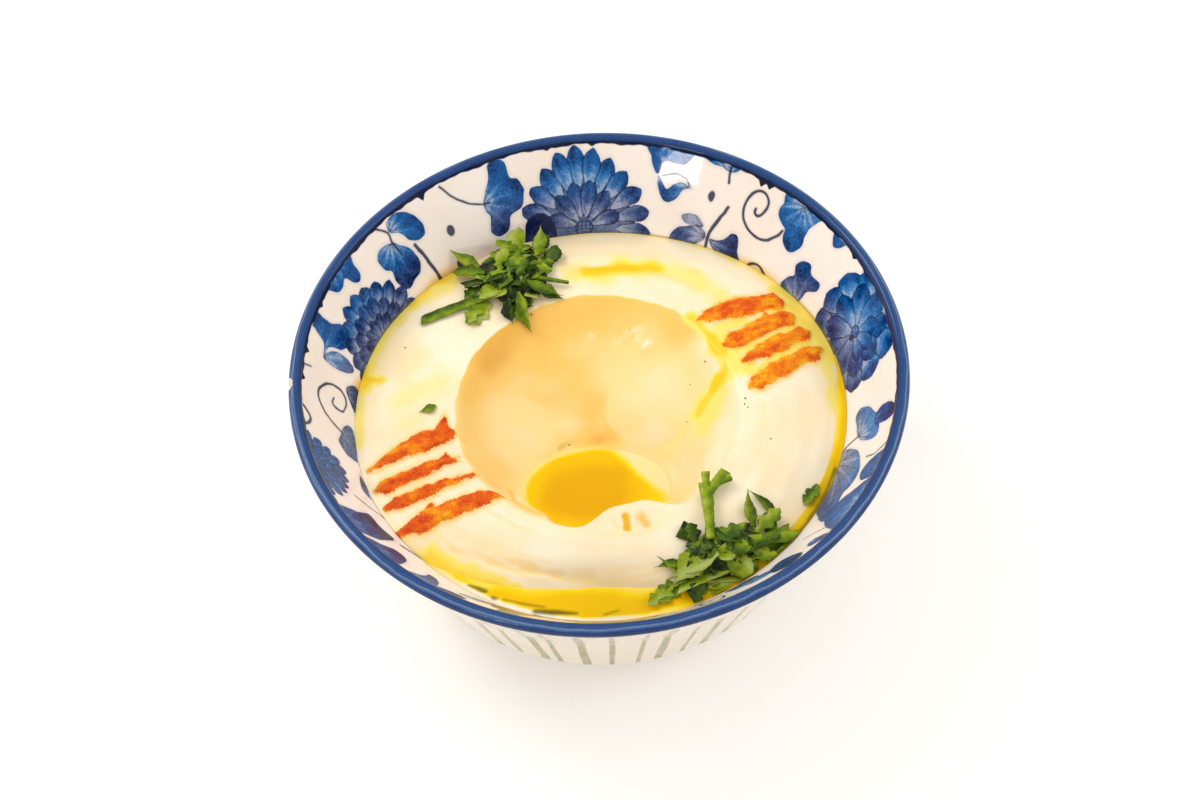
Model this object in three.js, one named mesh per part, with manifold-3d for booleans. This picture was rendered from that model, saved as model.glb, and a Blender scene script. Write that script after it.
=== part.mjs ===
// A serving bowl of hummus: a glazed bowl, the swirled dip with its well and paprika bands,
// two bodies of olive oil, and chopped parsley. Millimetres, +Z up, with the origin on the
// surface that the bowl stands on, under the middle of its foot. -Y is the front.
import * as THREE from 'three';
import { mergeVertices } from 'three/addons/utils/BufferGeometryUtils.js';
import Module from 'manifold-3d';

// ---- driving dimensions -------------------------------------------------------------
const SEGMENTS = 60;               // facets around the bowl
const GAP = 0.35;                  // clearance kept between two pieces that touch
const GRID = 1 / 256;              // corners of joined solids are rounded to this

const RIM_RADIUS = 80;             // outside of the bowl's lip
const LIP_THICKNESS = 3.5;
const RIM_HEIGHT = 67;             // widest point of the lip
const FOOT_OUTER = 39.5;           // standing ring
const FOOT_INNER = 35;
const FOOT_RECESS = 2.6;           // how far the bowl's underside sits above the table
const FLOOR_HEIGHT = 9.5;          // inside bottom of the bowl
// Inside of the wall, from the floor's edge up to the lip: [radius, height].
const INNER_WALL = [[41, 11], [50.5, 15.5], [55.4, 23], [60.2, 37], [64.9, 47.5], [70.4, 57.2]];
// Outside of the wall, from the lip down to the foot.
const OUTER_WALL = [[74.6, 54.5], [69.7, 44], [65.2, 31.5], [61.2, 20.5], [58.4, 13], [53.5, 7.8]];
const CHIP_ANGLE = 181.5;          // small chip out of the lip, degrees
const CHIP_RADIUS = 2.1;

const CREST_HEIGHT = 49.5;         // top of the dip's ring
const CREST_PLACE = 0.22;          // where the ring is highest, 0 at the well and 1 at the wall
const EDGE_HEIGHT = 45.8;          // mean height at which the contents meet the wall
const EDGE_SWING = 1.9;            // higher by this at the sides, lower at front and back
const WELL = { x: -0.4, y: -1.5, radius: 38.3, shoulder: 2.6 };
const POOL = { x: -1.5, y: -16, a: 19.4, b: 13, level: 32, depth: 3.2 };
// Lobes of dip that lean into the well: heading, half spread, reach, and how far their tops sink.
const LOBES = [
  { angle: 282, spread: 17, reach: 8.3, sink: 1.6 },   // the curl over the pool
  { angle: 237, spread: 9, reach: 4.5, sink: 3.6 },    // the ledge under the powder's end
];
const GROOVE = { radius: 48, width: 2, depth: 0.9, angle: 78, spread: 26 };   // spoon's mark at the back
const POOL_SIDES = 36;
const MOAT = { angle: 264, spread: 28, width: 9.4, tail: 2.7, slope: 0.42, step: 5 };
const MOAT_ENDS = [231, 361];      // where the oil beside the wall starts and stops
// Soft rises and dips on the floor of the well: x, y, radius across, radius deep, height.
const SWELLS = [
  [13.5, 8, 12, 11, 1.8],          // the broad lit dome
  [-22, 3, 9, 8, 1.6],             // the bulge on its left
  [-0.5, 5, 3.6, 9, -1.1],         // the valley between them
  [-9.3, 3.3, 3, 3, 0.9],          // the small bump in the valley
  [32, -11, 8, 13, 1.6],           // the raised shelf on the right
];

const RING_STEPS = 13;             // facets across the ring, from the well to the wall
const PAPRIKA_RISE = 0.8;          // powder stands this far above the dip
const PAPRIKA_FRAY = 0.35;         // how far its edges wander
// Each band of powder: its two ends in plan, how far its middle bows, and its width.
const PAPRIKA_BANDS = [
  { from: [-61, -17.6], to: [-39, -7], bow: 0.8, width: 4.6 },
  { from: [-59.2, -24.2], to: [-37.6, -15.2], bow: 0.3, width: 2.9 },
  { from: [-56.4, -29.4], to: [-32.6, -20.6], bow: 0.2, width: 2.7 },
  { from: [-53.4, -37], to: [-24.2, -26.2], bow: 0.6, width: 4.6 },
  { from: [27.6, 26], to: [51, 32.3], bow: 0.6, width: 4.8 },
  { from: [34.2, 17], to: [53.6, 26.9], bow: 0.3, width: 4.2 },
  { from: [38.6, 11.1], to: [57.2, 21.2], bow: 0.3, width: 3.6 },
  { from: [39.8, 2.6], to: [60, 15.2], bow: 0.4, width: 3.3 },
];
// The dip's columns of facets stand this far apart, in degrees, and closer under the powder.
const COLUMN_STEP = 6;
const FINE_STEP = 1.8;
const FINE_SECTORS = [[2, 46], [194, 228]];

const LEAF_THICKNESS = 0.45;
const LEAF_CLEARANCE = 0.45;       // leaves stay this far above the dip and the oil
// Chopped leaves that show: where each leaves its heap and where its tip is, in plan, the tip's
// height above what lies under it, and its width.
const BACK_LEAVES = [
  [[-29, 37.5], [-47.7, 30.7], 0.6, 3.4], [[-26, 38], [-35, 28], 0.6, 6],
  [[-22.6, 37], [-17.6, 26.5], 0.6, 3.6], [[-24.4, 37], [-22.6, 27.6], 0.8, 4],
  [[-22, 41.5], [-36, 41.2], 2, 2.4], [[-23, 39], [-31.6, 35.6], 2.6, 5.2],
  [[-17.6, 39.8], [-8.8, 35.4], 0.7, 3.8], [[-16.4, 41], [-7, 40.2], 1.2, 1.3],
  [[-28, 46.4], [-40, 53.5], 6, 3.6], [[-26, 43.6], [-39, 47.6], 2.4, 4.6],
  [[-20, 43.6], [-28, 50.6], 5.4, 5], [[-22, 50], [-21, 60], 6.6, 5.6],
  [[-16.4, 48.6], [-14.2, 61.2], 6.6, 3.8], [[-15.2, 46.6], [-9.6, 53.6], 2.2, 4.6],
  [[-17.4, 46.6], [-26, 57], 5, 5.2], [[-21, 43], [-11.6, 44], 2.4, 4.4],
  [[-29.6, 42.6], [-35.8, 37.2], 0.9, 3.4], [[-18.4, 51], [-12, 57.6], 3.2, 4],
  [[-24, 41.5], [-18.4, 45.5], 6.2, 4], [[-20, 47.5], [-15.4, 43.6], 5.8, 3.4],
  [[-27.4, 44.6], [-23.4, 49.6], 6.4, 3.6],
];
const FRONT_LEAVES = [
  [[27, -47], [16.2, -54.4], 1.6, 7.4], [[28, -46.4], [36, -53.6], 2.4, 6.2],
  [[38, -44], [36.6, -31.2], 2.8, 3.2], [[35, -44.4], [44.6, -36.4], 2.4, 4.6],
  [[23, -48], [21, -40.6], 3, 3.6], [[32, -50.6], [17.4, -56], 1.6, 3],
  [[22, -50], [11.6, -59], 1, 4], [[25.6, -51], [21.4, -60], 1.2, 4.6],
  [[30, -51], [27.2, -59.4], 1, 4.6], [[34.4, -45], [48.6, -43], 1.6, 3],
  [[35, -46.6], [46.4, -41], 1.8, 3.4], [[33.4, -48.4], [43.4, -49], 1.4, 3.6],
  [[22, -49], [11.8, -50.4], 1.2, 2.6], [[24, -47.6], [34, -43], 5.2, 5.4],
  [[33.6, -47.4], [28, -50.4], 5.4, 3.6], [[29.4, -46], [35.6, -48.6], 5.8, 3.4],
];
const FRONT_STALK = [
  [[26.4, -45], [26.4, -29.6], 1.8, 3.2], [[26.3, -31], [26.3, -22.6], 1.6, 2.4],
  [[26.5, -31], [31.4, -23.6], 1.7, 2.4],
];
// Each heap's core: middle in plan, half length, half depth, height and heading of its long axis.
const BACK_CORE = { at: [-22.5, 44.5], reach: [11.5, 9.6], height: 5, heading: 120 };
const FRONT_CORE = { at: [29.5, -47.6], reach: [11.5, 5.6], height: 4.6, heading: 20 };
const CORE_LUMPS = 0.22;           // share by which a core's surface is uneven
const LONE_BITS = {
  parsley_bit_left: [[-43.4, 1.4], [-47.8, -0.4], 0.3, 3],
  parsley_bit_right: [[55, -27.6], [50.8, -33], 0.3, 4],
};

const COLOURS = {
  bowl: ['#e9e4da', 0.22], hummus: ['#f6e2b0', 0.55], oil: ['#e8b90a', 0.12], parsley: ['#4c7a22', 0.6],
};

// ---- small helpers ------------------------------------------------------------------
const wasm = await Module();
wasm.setup();

const rad = THREE.MathUtils.degToRad;
const lerp = THREE.MathUtils.lerp;
const clamp = THREE.MathUtils.clamp;
const bell = (x) => Math.exp(-x * x);
const smooth = (x, from, to) => THREE.MathUtils.smoothstep(x, from, to);

// The angle from one heading to another, in degrees, between -180 and 180.
const turnBetween = (angle, heading) => ((angle - heading + 540) % 360) - 180;
const headingOf = (x, y) => (THREE.MathUtils.radToDeg(Math.atan2(y, x)) + 360) % 360;

function seededRandom(seed) {
  let state = seed;
  return () => {
    state = (state * 1664525 + 1013904223) % 4294967296;
    return state / 4294967296;
  };
}

function meshGeometry(points, faces) {
  const geometry = new THREE.BufferGeometry();
  geometry.setAttribute('position', new THREE.Float32BufferAttribute(points.flat(), 3));
  geometry.setIndex(faces.flat());
  return geometry;
}

function toManifold(geometry) {
  const bare = geometry.clone();
  bare.deleteAttribute('normal');
  bare.deleteAttribute('uv');
  const merged = mergeVertices(bare, 1e-4);
  return new wasm.Manifold(new wasm.Mesh({
    numProp: 3,
    vertProperties: new Float32Array(merged.attributes.position.array),
    triVerts: new Uint32Array(merged.index.array),
  }));
}

// A solid's mesh, with its corners on a fine grid, so that no two of them nearly coincide.
// Faces that this flattens go, and so do pairs of faces that it folds onto each other.
function fromManifold(solid) {
  const mesh = solid.getMesh();
  const numbers = new Map();
  const points = [];
  const numberOf = [];
  for (let v = 0; v < mesh.vertProperties.length; v += 3) {
    const point = [0, 1, 2].map((axis) => Math.round(mesh.vertProperties[v + axis] / GRID) * GRID);
    const key = point.map((value) => Math.round(value / GRID)).join();
    if (!numbers.has(key)) {
      numbers.set(key, points.length);
      points.push(point);
    }
    numberOf.push(numbers.get(key));
  }
  const faces = new Map();
  for (let t = 0; t < mesh.triVerts.length; t += 3) {
    const face = [0, 1, 2].map((corner) => numberOf[mesh.triVerts[t + corner]]);
    if (new Set(face).size < 3) continue;
    const key = face.slice().sort((one, other) => one - other).join();
    if (faces.has(key)) faces.delete(key);
    else faces.set(key, face);
  }
  return meshGeometry(points, [...faces.values()]);
}

// The largest of the separate bodies in a solid.
function largestBody(solid) {
  const bodies = solid.decompose();
  bodies.sort((one, other) => other.volume() - one.volume());
  return bodies[0];
}

// Closed rings of points, each joined to the next; first and last are single points.
function ringedSolid(firstPoint, rings, lastPoint) {
  const count = rings[0].length;
  const points = [firstPoint, ...rings.flat(), lastPoint];
  const last = points.length - 1;
  const faces = [];
  const at = (ring, i) => 1 + ring * count + (i % count);
  for (let i = 0; i < count; i++) {
    faces.push([0, at(0, i), at(0, i + 1)]);
    for (let k = 0; k + 1 < rings.length; k++) {
      faces.push([at(k, i), at(k + 1, i), at(k, i + 1)], [at(k, i + 1), at(k + 1, i), at(k + 1, i + 1)]);
    }
    faces.push([last, at(rings.length - 1, i + 1), at(rings.length - 1, i)]);
  }
  return meshGeometry(points, faces);
}

// Equal cross-sections joined along a path and capped at both ends.
function sectionedSolid(sections) {
  const count = sections[0].length;
  const faces = [];
  const at = (k, i) => k * count + (i % count);
  for (let k = 0; k + 1 < sections.length; k++) {
    for (let i = 0; i < count; i++) {
      faces.push([at(k, i), at(k, i + 1), at(k + 1, i)], [at(k, i + 1), at(k + 1, i + 1), at(k + 1, i)]);
    }
  }
  const end = sections.length - 1;
  for (let i = 1; i + 1 < count; i++) {
    faces.push([at(0, 0), at(0, i + 1), at(0, i)], [at(end, 0), at(end, i), at(end, i + 1)]);
  }
  return meshGeometry(sections.flat(), faces);
}

// ---- the bowl -----------------------------------------------------------------------
const LIP_RADIUS = LIP_THICKNESS / 2;
const lipCentre = [RIM_RADIUS - LIP_RADIUS, RIM_HEIGHT - 0.4];
const innerCurve = new THREE.SplineCurve([
  ...INNER_WALL.map(([r, z]) => new THREE.Vector2(r, z)),
  new THREE.Vector2(lipCentre[0] - LIP_RADIUS, lipCentre[1]),
]);
const innerSamples = innerCurve.getPoints(60);

// Radius of the inside of the wall at a height.
function wallRadius(z) {
  let k = innerSamples.findIndex((p) => p.y >= z);
  if (k < 1) k = k < 0 ? innerSamples.length - 1 : 1;
  const a = innerSamples[k - 1];
  const b = innerSamples[k];
  return a.x + (b.x - a.x) * (z - a.y) / (b.y - a.y);
}

function bowlProfile() {
  const inside = innerCurve.getPoints(11);
  const lip = [];
  for (let turn = 150; turn >= -30; turn -= 45) {
    const a = rad(turn);
    lip.push(new THREE.Vector2(lipCentre[0] + LIP_RADIUS * Math.cos(a), lipCentre[1] + LIP_RADIUS * Math.sin(a)));
  }
  const outside = OUTER_WALL.map(([r, z]) => new THREE.Vector2(r, z));
  const foot = [
    [FOOT_OUTER + 0.8, 6], [FOOT_OUTER, 0], [FOOT_INNER, 0], [FOOT_INNER - 1.2, FOOT_RECESS], [0, FOOT_RECESS],
  ].map(([r, z]) => new THREE.Vector2(r, z));
  return [new THREE.Vector2(0, FLOOR_HEIGHT), ...inside, ...lip, ...outside, ...foot].reverse();
}

// LatheGeometry turns about Y, so its axis is laid over to Z.
function bowlGeometry() {
  const body = new THREE.LatheGeometry(bowlProfile(), SEGMENTS).rotateX(Math.PI / 2);
  const chip = new THREE.IcosahedronGeometry(CHIP_RADIUS, 1);
  const a = rad(CHIP_ANGLE);
  const reach = RIM_RADIUS + CHIP_RADIUS * 0.35;
  chip.translate(reach * Math.cos(a), reach * Math.sin(a), RIM_HEIGHT + 0.9);
  return fromManifold(toManifold(body).subtract(toManifold(chip)));
}

// ---- the surface of the dip ---------------------------------------------------------
// Height at which the contents meet the wall, by heading in degrees.
function edgeHeight(heading) {
  return EDGE_HEIGHT + EDGE_SWING * Math.cos(2 * rad(heading)) + 1.2 * bell(turnBetween(heading, 205) / 18);
}

// Width of the oil that lies between the dip and the wall.
function moatWidth(heading) {
  const from = heading < 90 ? heading + 360 : heading;
  const front = MOAT.width * bell((from - MOAT.angle) / MOAT.spread);
  const tail = MOAT.tail * smooth(from, 250, 300) * (1 - smooth(from, 356, 376));
  return front + tail;
}

const moatDepth = (heading) => MOAT.slope * moatWidth(heading);

// One measure of the lobes, such as their reach, summed at a heading.
function lobeSum(heading, measure) {
  const share = ({ angle, spread }) => bell((turnBetween(heading, angle) / spread) ** 2);
  return LOBES.reduce((sum, lobe) => sum + share(lobe) * lobe[measure], 0);
}

// Edge of the well, pushed in by the lobes.
const wellRadius = (heading) => WELL.radius - lobeSum(heading, 'reach');

function ringHeight(x, y) {
  const heading = headingOf(x, y);
  const r = Math.hypot(x, y);
  const edge = edgeHeight(heading);
  const wall = wallRadius(edge);
  const shore = wall - Math.max(moatWidth(heading), 0.01);
  const depth = moatDepth(heading);
  if (r > shore) return edge - depth * clamp((r - shore) / (wallRadius(edge - depth) - shore), 0, 1);
  const well = WELL.radius;
  const u = clamp((r - well) / (shore - well), 0, 1);
  const from = u > CREST_PLACE ? (u - CREST_PLACE) / (1 - CREST_PLACE) : 0.26 * (1 - u / CREST_PLACE);
  const groove = GROOVE.depth * bell((r - GROOVE.radius) / GROOVE.width)
    * bell((turnBetween(heading, GROOVE.angle) / GROOVE.spread) ** 2);
  const sink = lobeSum(heading, 'sink') * smooth(well - r, -1, 4);
  return lerp(CREST_HEIGHT, edge, from * from) - groove - sink;
}

// How steeply the well falls away under its edge: more at the left, evenly at front and back.
function wellSteepness(heading) {
  return 1.15 + 0.9 * bell(turnBetween(heading, 165) / 50) + 0.5 * bell(turnBetween(heading, 350) / 45);
}

function wellDrop(x, y) {
  const fromWell = Math.hypot(x - WELL.x, y - WELL.y);
  const heading = headingOf(x - WELL.x, y - WELL.y);
  const toEdge = wellRadius(heading) - fromWell;
  if (toEdge <= 0) return 0;
  const rho = Math.hypot((x - POOL.x) / POOL.a, (y - POOL.y) / POOL.b);
  if (rho <= 1) return 1;
  const toPool = Math.hypot(x - POOL.x, y - POOL.y) * (1 - 1 / rho);
  const t = toPool / (toPool + toEdge);
  const rounded = (distance) => 1 - Math.exp(-distance / WELL.shoulder);
  return (1 - t ** wellSteepness(heading)) * rounded(toEdge) / rounded(toEdge + toPool);
}

// How far the powder stands above the dip: a low ridge along each band, with frayed edges.
function paprikaRise(x, y) {
  let rise = 0;
  PAPRIKA_BANDS.forEach(({ from, to, bow, width }, number) => {
    const length = Math.hypot(to[0] - from[0], to[1] - from[1]);
    const along = [(to[0] - from[0]) / length, (to[1] - from[1]) / length];
    const s = (x - from[0]) * along[0] + (y - from[1]) * along[1];
    const share = clamp(s / length, 0, 1);
    const fray = PAPRIKA_FRAY * (Math.sin(2.3 * s + number) + 0.6 * Math.sin(5.1 * s + 2.1 * number));
    const across = (y - from[1]) * along[0] - (x - from[0]) * along[1] - bow * Math.sin(Math.PI * share);
    const inside = Math.min(width / 2 + fray - Math.abs(across), s + fray, length + fray - s);
    rise = Math.max(rise, PAPRIKA_RISE * smooth(inside, -0.25, 0.75));
  });
  return rise;
}

// Height of the dip's surface over any point of the plan, without the powder.
function dipHeight(x, y) {
  const ring = ringHeight(x, y);
  const drop = wellDrop(x, y);
  const rho = Math.hypot((x - POOL.x) / POOL.a, (y - POOL.y) / POOL.b);
  if (rho < 1) return POOL.level - 0.2 - POOL.depth * (1 - rho * rho);
  let z = lerp(ring, POOL.level, drop);
  const inside = smooth(drop, 0.15, 0.5) * smooth(rho, 1, 1.25);
  for (const [sx, sy, across, deep, rise] of SWELLS) {
    z += inside * rise * bell(Math.hypot((x - sx) / across, (y - sy) / deep));
  }
  return z;
}

// ---- the dip ------------------------------------------------------------------------
const circlePoint = (cx, cy, rx, ry, heading) => [cx + rx * Math.cos(rad(heading)), cy + ry * Math.sin(rad(heading))];

function columnHeadings() {
  const headings = [];
  for (let heading = 0; heading < 359; ) {
    headings.push(heading);
    const fine = FINE_SECTORS.some(([from, to]) => heading >= from && heading < to);
    heading += fine ? FINE_STEP : COLUMN_STEP;
  }
  return headings;
}

// Outlines of the dip in plan, from the middle of the pool out to the wall.
function dipPlanRings(headings) {
  const low = headings.map((h) => wallRadius(edgeHeight(h) - moatDepth(h)) - GAP);
  const beach = headings.map((h, i) => Math.min(wallRadius(edgeHeight(h)) - moatWidth(h), low[i] - 1.2));
  const outer = headings.map((h, i) => circlePoint(0, 0, low[i], low[i], h));
  const shore = headings.map((h, i) => circlePoint(0, 0, beach[i], beach[i], h));
  const well = headings.map((h) => circlePoint(WELL.x, WELL.y, wellRadius(h), wellRadius(h), h));
  const pool = headings.map((h) => circlePoint(POOL.x, POOL.y, POOL.a, POOL.b, h));
  const middle = headings.map(() => [POOL.x, POOL.y]);
  const between = (from, to, t) => from.map((p, i) => [lerp(p[0], to[i][0], t), lerp(p[1], to[i][1], t)]);
  return [
    ...[0.35, 0.7].map((t) => between(middle, pool, t)),
    ...[0, 0.16, 0.34, 0.53, 0.7, 0.83, 0.92, 0.97].map((t) => between(pool, well, t)),
    ...Array.from({ length: RING_STEPS }, (_, k) => between(well, shore, k / RING_STEPS)),
    ...[0, 0.5, 1].map((t) => between(shore, outer, t)),
  ];
}

function dipUnderside(headings) {
  const floor = FLOOR_HEIGHT + GAP + 0.2;
  const rings = [0.93, 0.82, 0.6, 0.38, 0.16, 0.03].map((share) => headings.map((heading) => {
    const z = lerp(INNER_WALL[0][1] + 1, edgeHeight(heading) - moatDepth(heading), share);
    const r = wallRadius(z) - GAP;
    return [...circlePoint(0, 0, r, r, heading), z];
  }));
  rings.push(headings.map((heading) => [...circlePoint(0, 0, 30, 30, heading), floor + 1]));
  return { rings, floor };
}

function dipGeometry() {
  const headings = columnHeadings();
  const height = (x, y) => dipHeight(x, y) + paprikaRise(x, y);
  const top = dipPlanRings(headings).map((ring) => ring.map(([x, y]) => [x, y, height(x, y)]));
  const under = dipUnderside(headings);
  return ringedSolid([POOL.x, POOL.y, height(POOL.x, POOL.y)], [...top, ...under.rings], [0, 0, under.floor]);
}

// ---- the oil ------------------------------------------------------------------------
function poolGeometry() {
  const ringAt = (share, z) => Array.from({ length: POOL_SIDES }, (_, i) => {
    const heading = i * 360 / POOL_SIDES;
    return [...circlePoint(POOL.x, POOL.y, POOL.a * share, POOL.b * share, heading), z];
  });
  const edge = 0.93;
  const bottom = (share) => POOL.level + GAP - 0.2 - POOL.depth * (1 - share * share);
  return ringedSolid([POOL.x, POOL.y, POOL.level], [
    ringAt(edge, POOL.level), ringAt(edge - 0.01, bottom(edge)), ringAt(0.6, bottom(0.6)), ringAt(0.3, bottom(0.3)),
  ], [POOL.x, POOL.y, bottom(0)]);
}

function moatGeometry() {
  const sections = [];
  const [from, to] = MOAT_ENDS;
  for (let heading = from; heading <= to; heading += MOAT.step) {
    const level = edgeHeight(heading % 360);
    const width = moatWidth(heading % 360);
    const depth = moatDepth(heading % 360);
    const shore = wallRadius(level) - width;
    const low = wallRadius(level - depth);
    const bed = (share) => [lerp(shore, low, share), level - depth * share + GAP];
    const point = ([r, z]) => [...circlePoint(0, 0, r, r, heading), z];
    const top = level - 0.05;
    sections.push([
      [bed(0.45)[0], top], [wallRadius(top) - GAP - 0.1, top], [low - 0.3, level - depth + GAP + 0.05], bed(0.45),
    ].map(point));
  }
  return sectionedSolid(sections);
}

// ---- the parsley --------------------------------------------------------------------
// The highest thing under a point of the plan: dip, powder or oil.
function restHeight(x, y) {
  const heading = headingOf(x, y);
  const edge = edgeHeight(heading);
  const inMoat = Math.hypot(x, y) > wallRadius(edge) - moatWidth(heading) && moatWidth(heading) > 1;
  return Math.max(dipHeight(x, y) + paprikaRise(x, y), inMoat ? edge : 0);
}

// A thin sheet with both of its faces split alike, from rows of points and their thickness.
function sheetSolid(rows, thickness) {
  const across = rows[0].length;
  const upper = rows.flat();
  const points = [...upper, ...upper.map(([x, y, z]) => [x, y, z - thickness])];
  const at = (row, column, below) => row * across + column + (below ? upper.length : 0);
  const faces = [];
  for (let k = 0; k + 1 < rows.length; k++) {
    for (let j = 0; j + 1 < across; j++) {
      for (const [a, b, c] of [[[k, j], [k, j + 1], [k + 1, j]], [[k, j + 1], [k + 1, j + 1], [k + 1, j]]]) {
        faces.push([at(...a, false), at(...b, false), at(...c, false)], [at(...a, true), at(...c, true), at(...b, true)]);
      }
    }
  }
  const border = [];
  for (let j = 0; j < across; j++) border.push([0, j]);
  for (let k = 1; k < rows.length; k++) border.push([k, across - 1]);
  for (let j = across - 2; j >= 0; j--) border.push([rows.length - 1, j]);
  for (let k = rows.length - 2; k > 0; k--) border.push([k, 0]);
  border.forEach((here, i) => {
    const next = border[(i + 1) % border.length];
    faces.push([at(...here, true), at(...next, true), at(...here, false)]);
    faces.push([at(...next, true), at(...next, false), at(...here, false)]);
  });
  return meshGeometry(points, faces);
}

// One chopped leaf: a wavy sheet folded a little along its midrib, kept off dip, oil and wall.
function leafSolid([from, to, tipRise, width], rootRise, seed, thickness = LEAF_THICKNESS) {
  const random = seededRandom(seed);
  const bank = 0.5 * (random() - 0.5);
  const wave = 0.5 * (random() - 0.5);
  const length = Math.hypot(to[0] - from[0], to[1] - from[1]);
  const side = [-(to[1] - from[1]) / length, (to[0] - from[0]) / length];
  const rows = [];
  for (const t of [0, 0.28, 0.56, 0.82, 1]) {
    const half = 0.5 * width * (0.25 + 0.95 * Math.sin(Math.PI * (0.12 + 0.86 * t)) ** 0.8 - 0.2 * t);
    const bow = wave * width * Math.sin(Math.PI * t);
    rows.push([1, 0, -1].map((j) => {
      const x = lerp(from[0], to[0], t) + side[0] * (bow + j * half);
      const y = lerp(from[1], to[1], t) + side[1] * (bow + j * half);
      const z = restHeight(lerp(from[0], to[0], t), lerp(from[1], to[1], t)) + lerp(rootRise, tipRise, t)
        + j * half * bank + (j === 0 ? -0.3 : 0.1) * half * 0.6 + 0.6 * Math.sin(2.6 * Math.PI * t) * wave;
      const floor = restHeight(x, y) + LEAF_CLEARANCE + thickness;
      const reach = Math.min(1, (wallRadius(Math.max(z, floor)) - 1) / Math.hypot(x, y));
      return [x * reach, y * reach, Math.max(z + thickness, floor)];
    }));
  }
  return sheetSolid(rows, thickness);
}

// Height of a heap's core over a point, as a share of its full height.
function coreShare({ at, reach, heading }, [x, y]) {
  const along = (x - at[0]) * Math.cos(rad(heading)) + (y - at[1]) * Math.sin(rad(heading));
  const aside = (y - at[1]) * Math.cos(rad(heading)) - (x - at[0]) * Math.sin(rad(heading));
  return Math.sqrt(Math.max(0, 1 - (along / reach[0]) ** 2 - (aside / reach[1]) ** 2));
}

// The lump that the leaves of a heap are stuck into: as uneven as chopped leaves, laid onto the dip.
function heapCore({ at, reach, height, heading }) {
  const lump = new THREE.IcosahedronGeometry(1, 2);
  const place = lump.attributes.position;
  for (let i = 0; i < place.count; i++) {
    const [x, y, z] = [place.getX(i), place.getY(i), place.getZ(i)];
    const uneven = 1 + CORE_LUMPS * Math.sin(7 * x + 1) * Math.sin(8 * y + 2) * Math.cos(6 * z);
    place.setXYZ(i, x * uneven, y * uneven, z * uneven);
  }
  lump.scale(reach[0], reach[1], height).rotateZ(rad(heading)).translate(at[0], at[1], 0);
  for (let i = 0; i < place.count; i++) {
    const floor = restHeight(place.getX(i), place.getY(i)) + LEAF_CLEARANCE;
    place.setZ(i, floor + 0.3 + Math.max(place.getZ(i), -0.2));
  }
  return lump;
}

function heapGeometry(core, leaves, stalks, seed) {
  let solid = toManifold(heapCore(core));
  const rootOf = (leaf) => 0.8 * core.height * coreShare(core, leaf[0]);
  leaves.forEach((leaf, i) => { solid = solid.add(toManifold(leafSolid(leaf, rootOf(leaf), seed + i))); });
  stalks.forEach((stalk, i) => {
    solid = solid.add(toManifold(leafSolid(stalk, Math.max(rootOf(stalk), 1.8), seed + 50 + i, 1.3)));
  });
  return fromManifold(largestBody(solid));
}

// ---- assembly -----------------------------------------------------------------------
function piece(name, geometry, [colour, roughness]) {
  const material = new THREE.MeshStandardMaterial({ color: colour, roughness, metalness: 0 });
  const mesh = new THREE.Mesh(geometry, material);
  mesh.name = name;
  return mesh;
}

const group = new THREE.Group();
group.add(
  piece('bowl', bowlGeometry(), COLOURS.bowl),
  piece('hummus', dipGeometry(), COLOURS.hummus),
  piece('oil_pool', poolGeometry(), COLOURS.oil),
  piece('oil_moat', moatGeometry(), COLOURS.oil),
  piece('parsley_back', heapGeometry(BACK_CORE, BACK_LEAVES, [], 5), COLOURS.parsley),
  piece('parsley_front', heapGeometry(FRONT_CORE, FRONT_LEAVES, FRONT_STALK, 35), COLOURS.parsley),
);
for (const [name, bit] of Object.entries(LONE_BITS)) {
  group.add(piece(name, leafSolid(bit, 0.3, 3), COLOURS.parsley));
}

export default group;
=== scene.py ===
import math

import bpy
import numpy as np
from mathutils import Matrix, Vector


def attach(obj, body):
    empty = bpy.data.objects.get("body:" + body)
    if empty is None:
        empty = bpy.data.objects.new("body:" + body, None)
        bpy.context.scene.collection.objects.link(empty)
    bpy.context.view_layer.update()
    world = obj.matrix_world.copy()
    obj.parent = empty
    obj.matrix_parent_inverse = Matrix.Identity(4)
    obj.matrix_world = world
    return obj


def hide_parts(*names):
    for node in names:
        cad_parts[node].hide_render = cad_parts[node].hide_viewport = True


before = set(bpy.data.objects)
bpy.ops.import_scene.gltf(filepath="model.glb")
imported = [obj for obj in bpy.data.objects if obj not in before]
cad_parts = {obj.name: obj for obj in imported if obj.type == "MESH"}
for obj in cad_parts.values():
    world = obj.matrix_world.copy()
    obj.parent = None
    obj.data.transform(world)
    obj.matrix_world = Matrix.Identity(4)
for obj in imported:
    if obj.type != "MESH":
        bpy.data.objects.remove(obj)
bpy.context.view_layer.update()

# Lengths are in millimetres, in the frame's own axes, and become metres in make_piece(); the stage,
# the lights and the camera at the end are in metres. Headings are degrees counter-clockwise from +X,
# and depths on the wall are measured down from the rim.
MM = 0.001
TINY = 1e-6
FAR = 9.0                           # a distance kept where nothing is painted or strewn

# ---- the bowl's and the food's driving sizes, as in the solids ------------------------
RIM_RADIUS, LIP_THICKNESS, RIM_HEIGHT = 80.0, 3.5, 67.0
FOOT_OUTER, FOOT_INNER, FOOT_RECESS, FLOOR_HEIGHT = 39.5, 35.0, 2.6, 9.5
INNER_WALL = [(41, 11), (50.5, 15.5), (55.4, 23), (60.2, 37), (64.9, 47.5), (70.4, 57.2)]
OUTER_WALL = [(74.6, 54.5), (69.7, 44), (65.2, 31.5), (61.2, 20.5), (58.4, 13), (53.5, 7.8)]
CHIP_ANGLE, CHIP_RADIUS = 181.5, 2.1
CREST_HEIGHT, CREST_PLACE, CREST_INNER_FALL = 49.5, 0.22, 0.26
EDGE_HEIGHT, EDGE_SWING = 45.8, 1.9
EDGE_BUMP, EDGE_BUMP_ANGLE, EDGE_BUMP_SPREAD = 1.2, 205, 18
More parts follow.
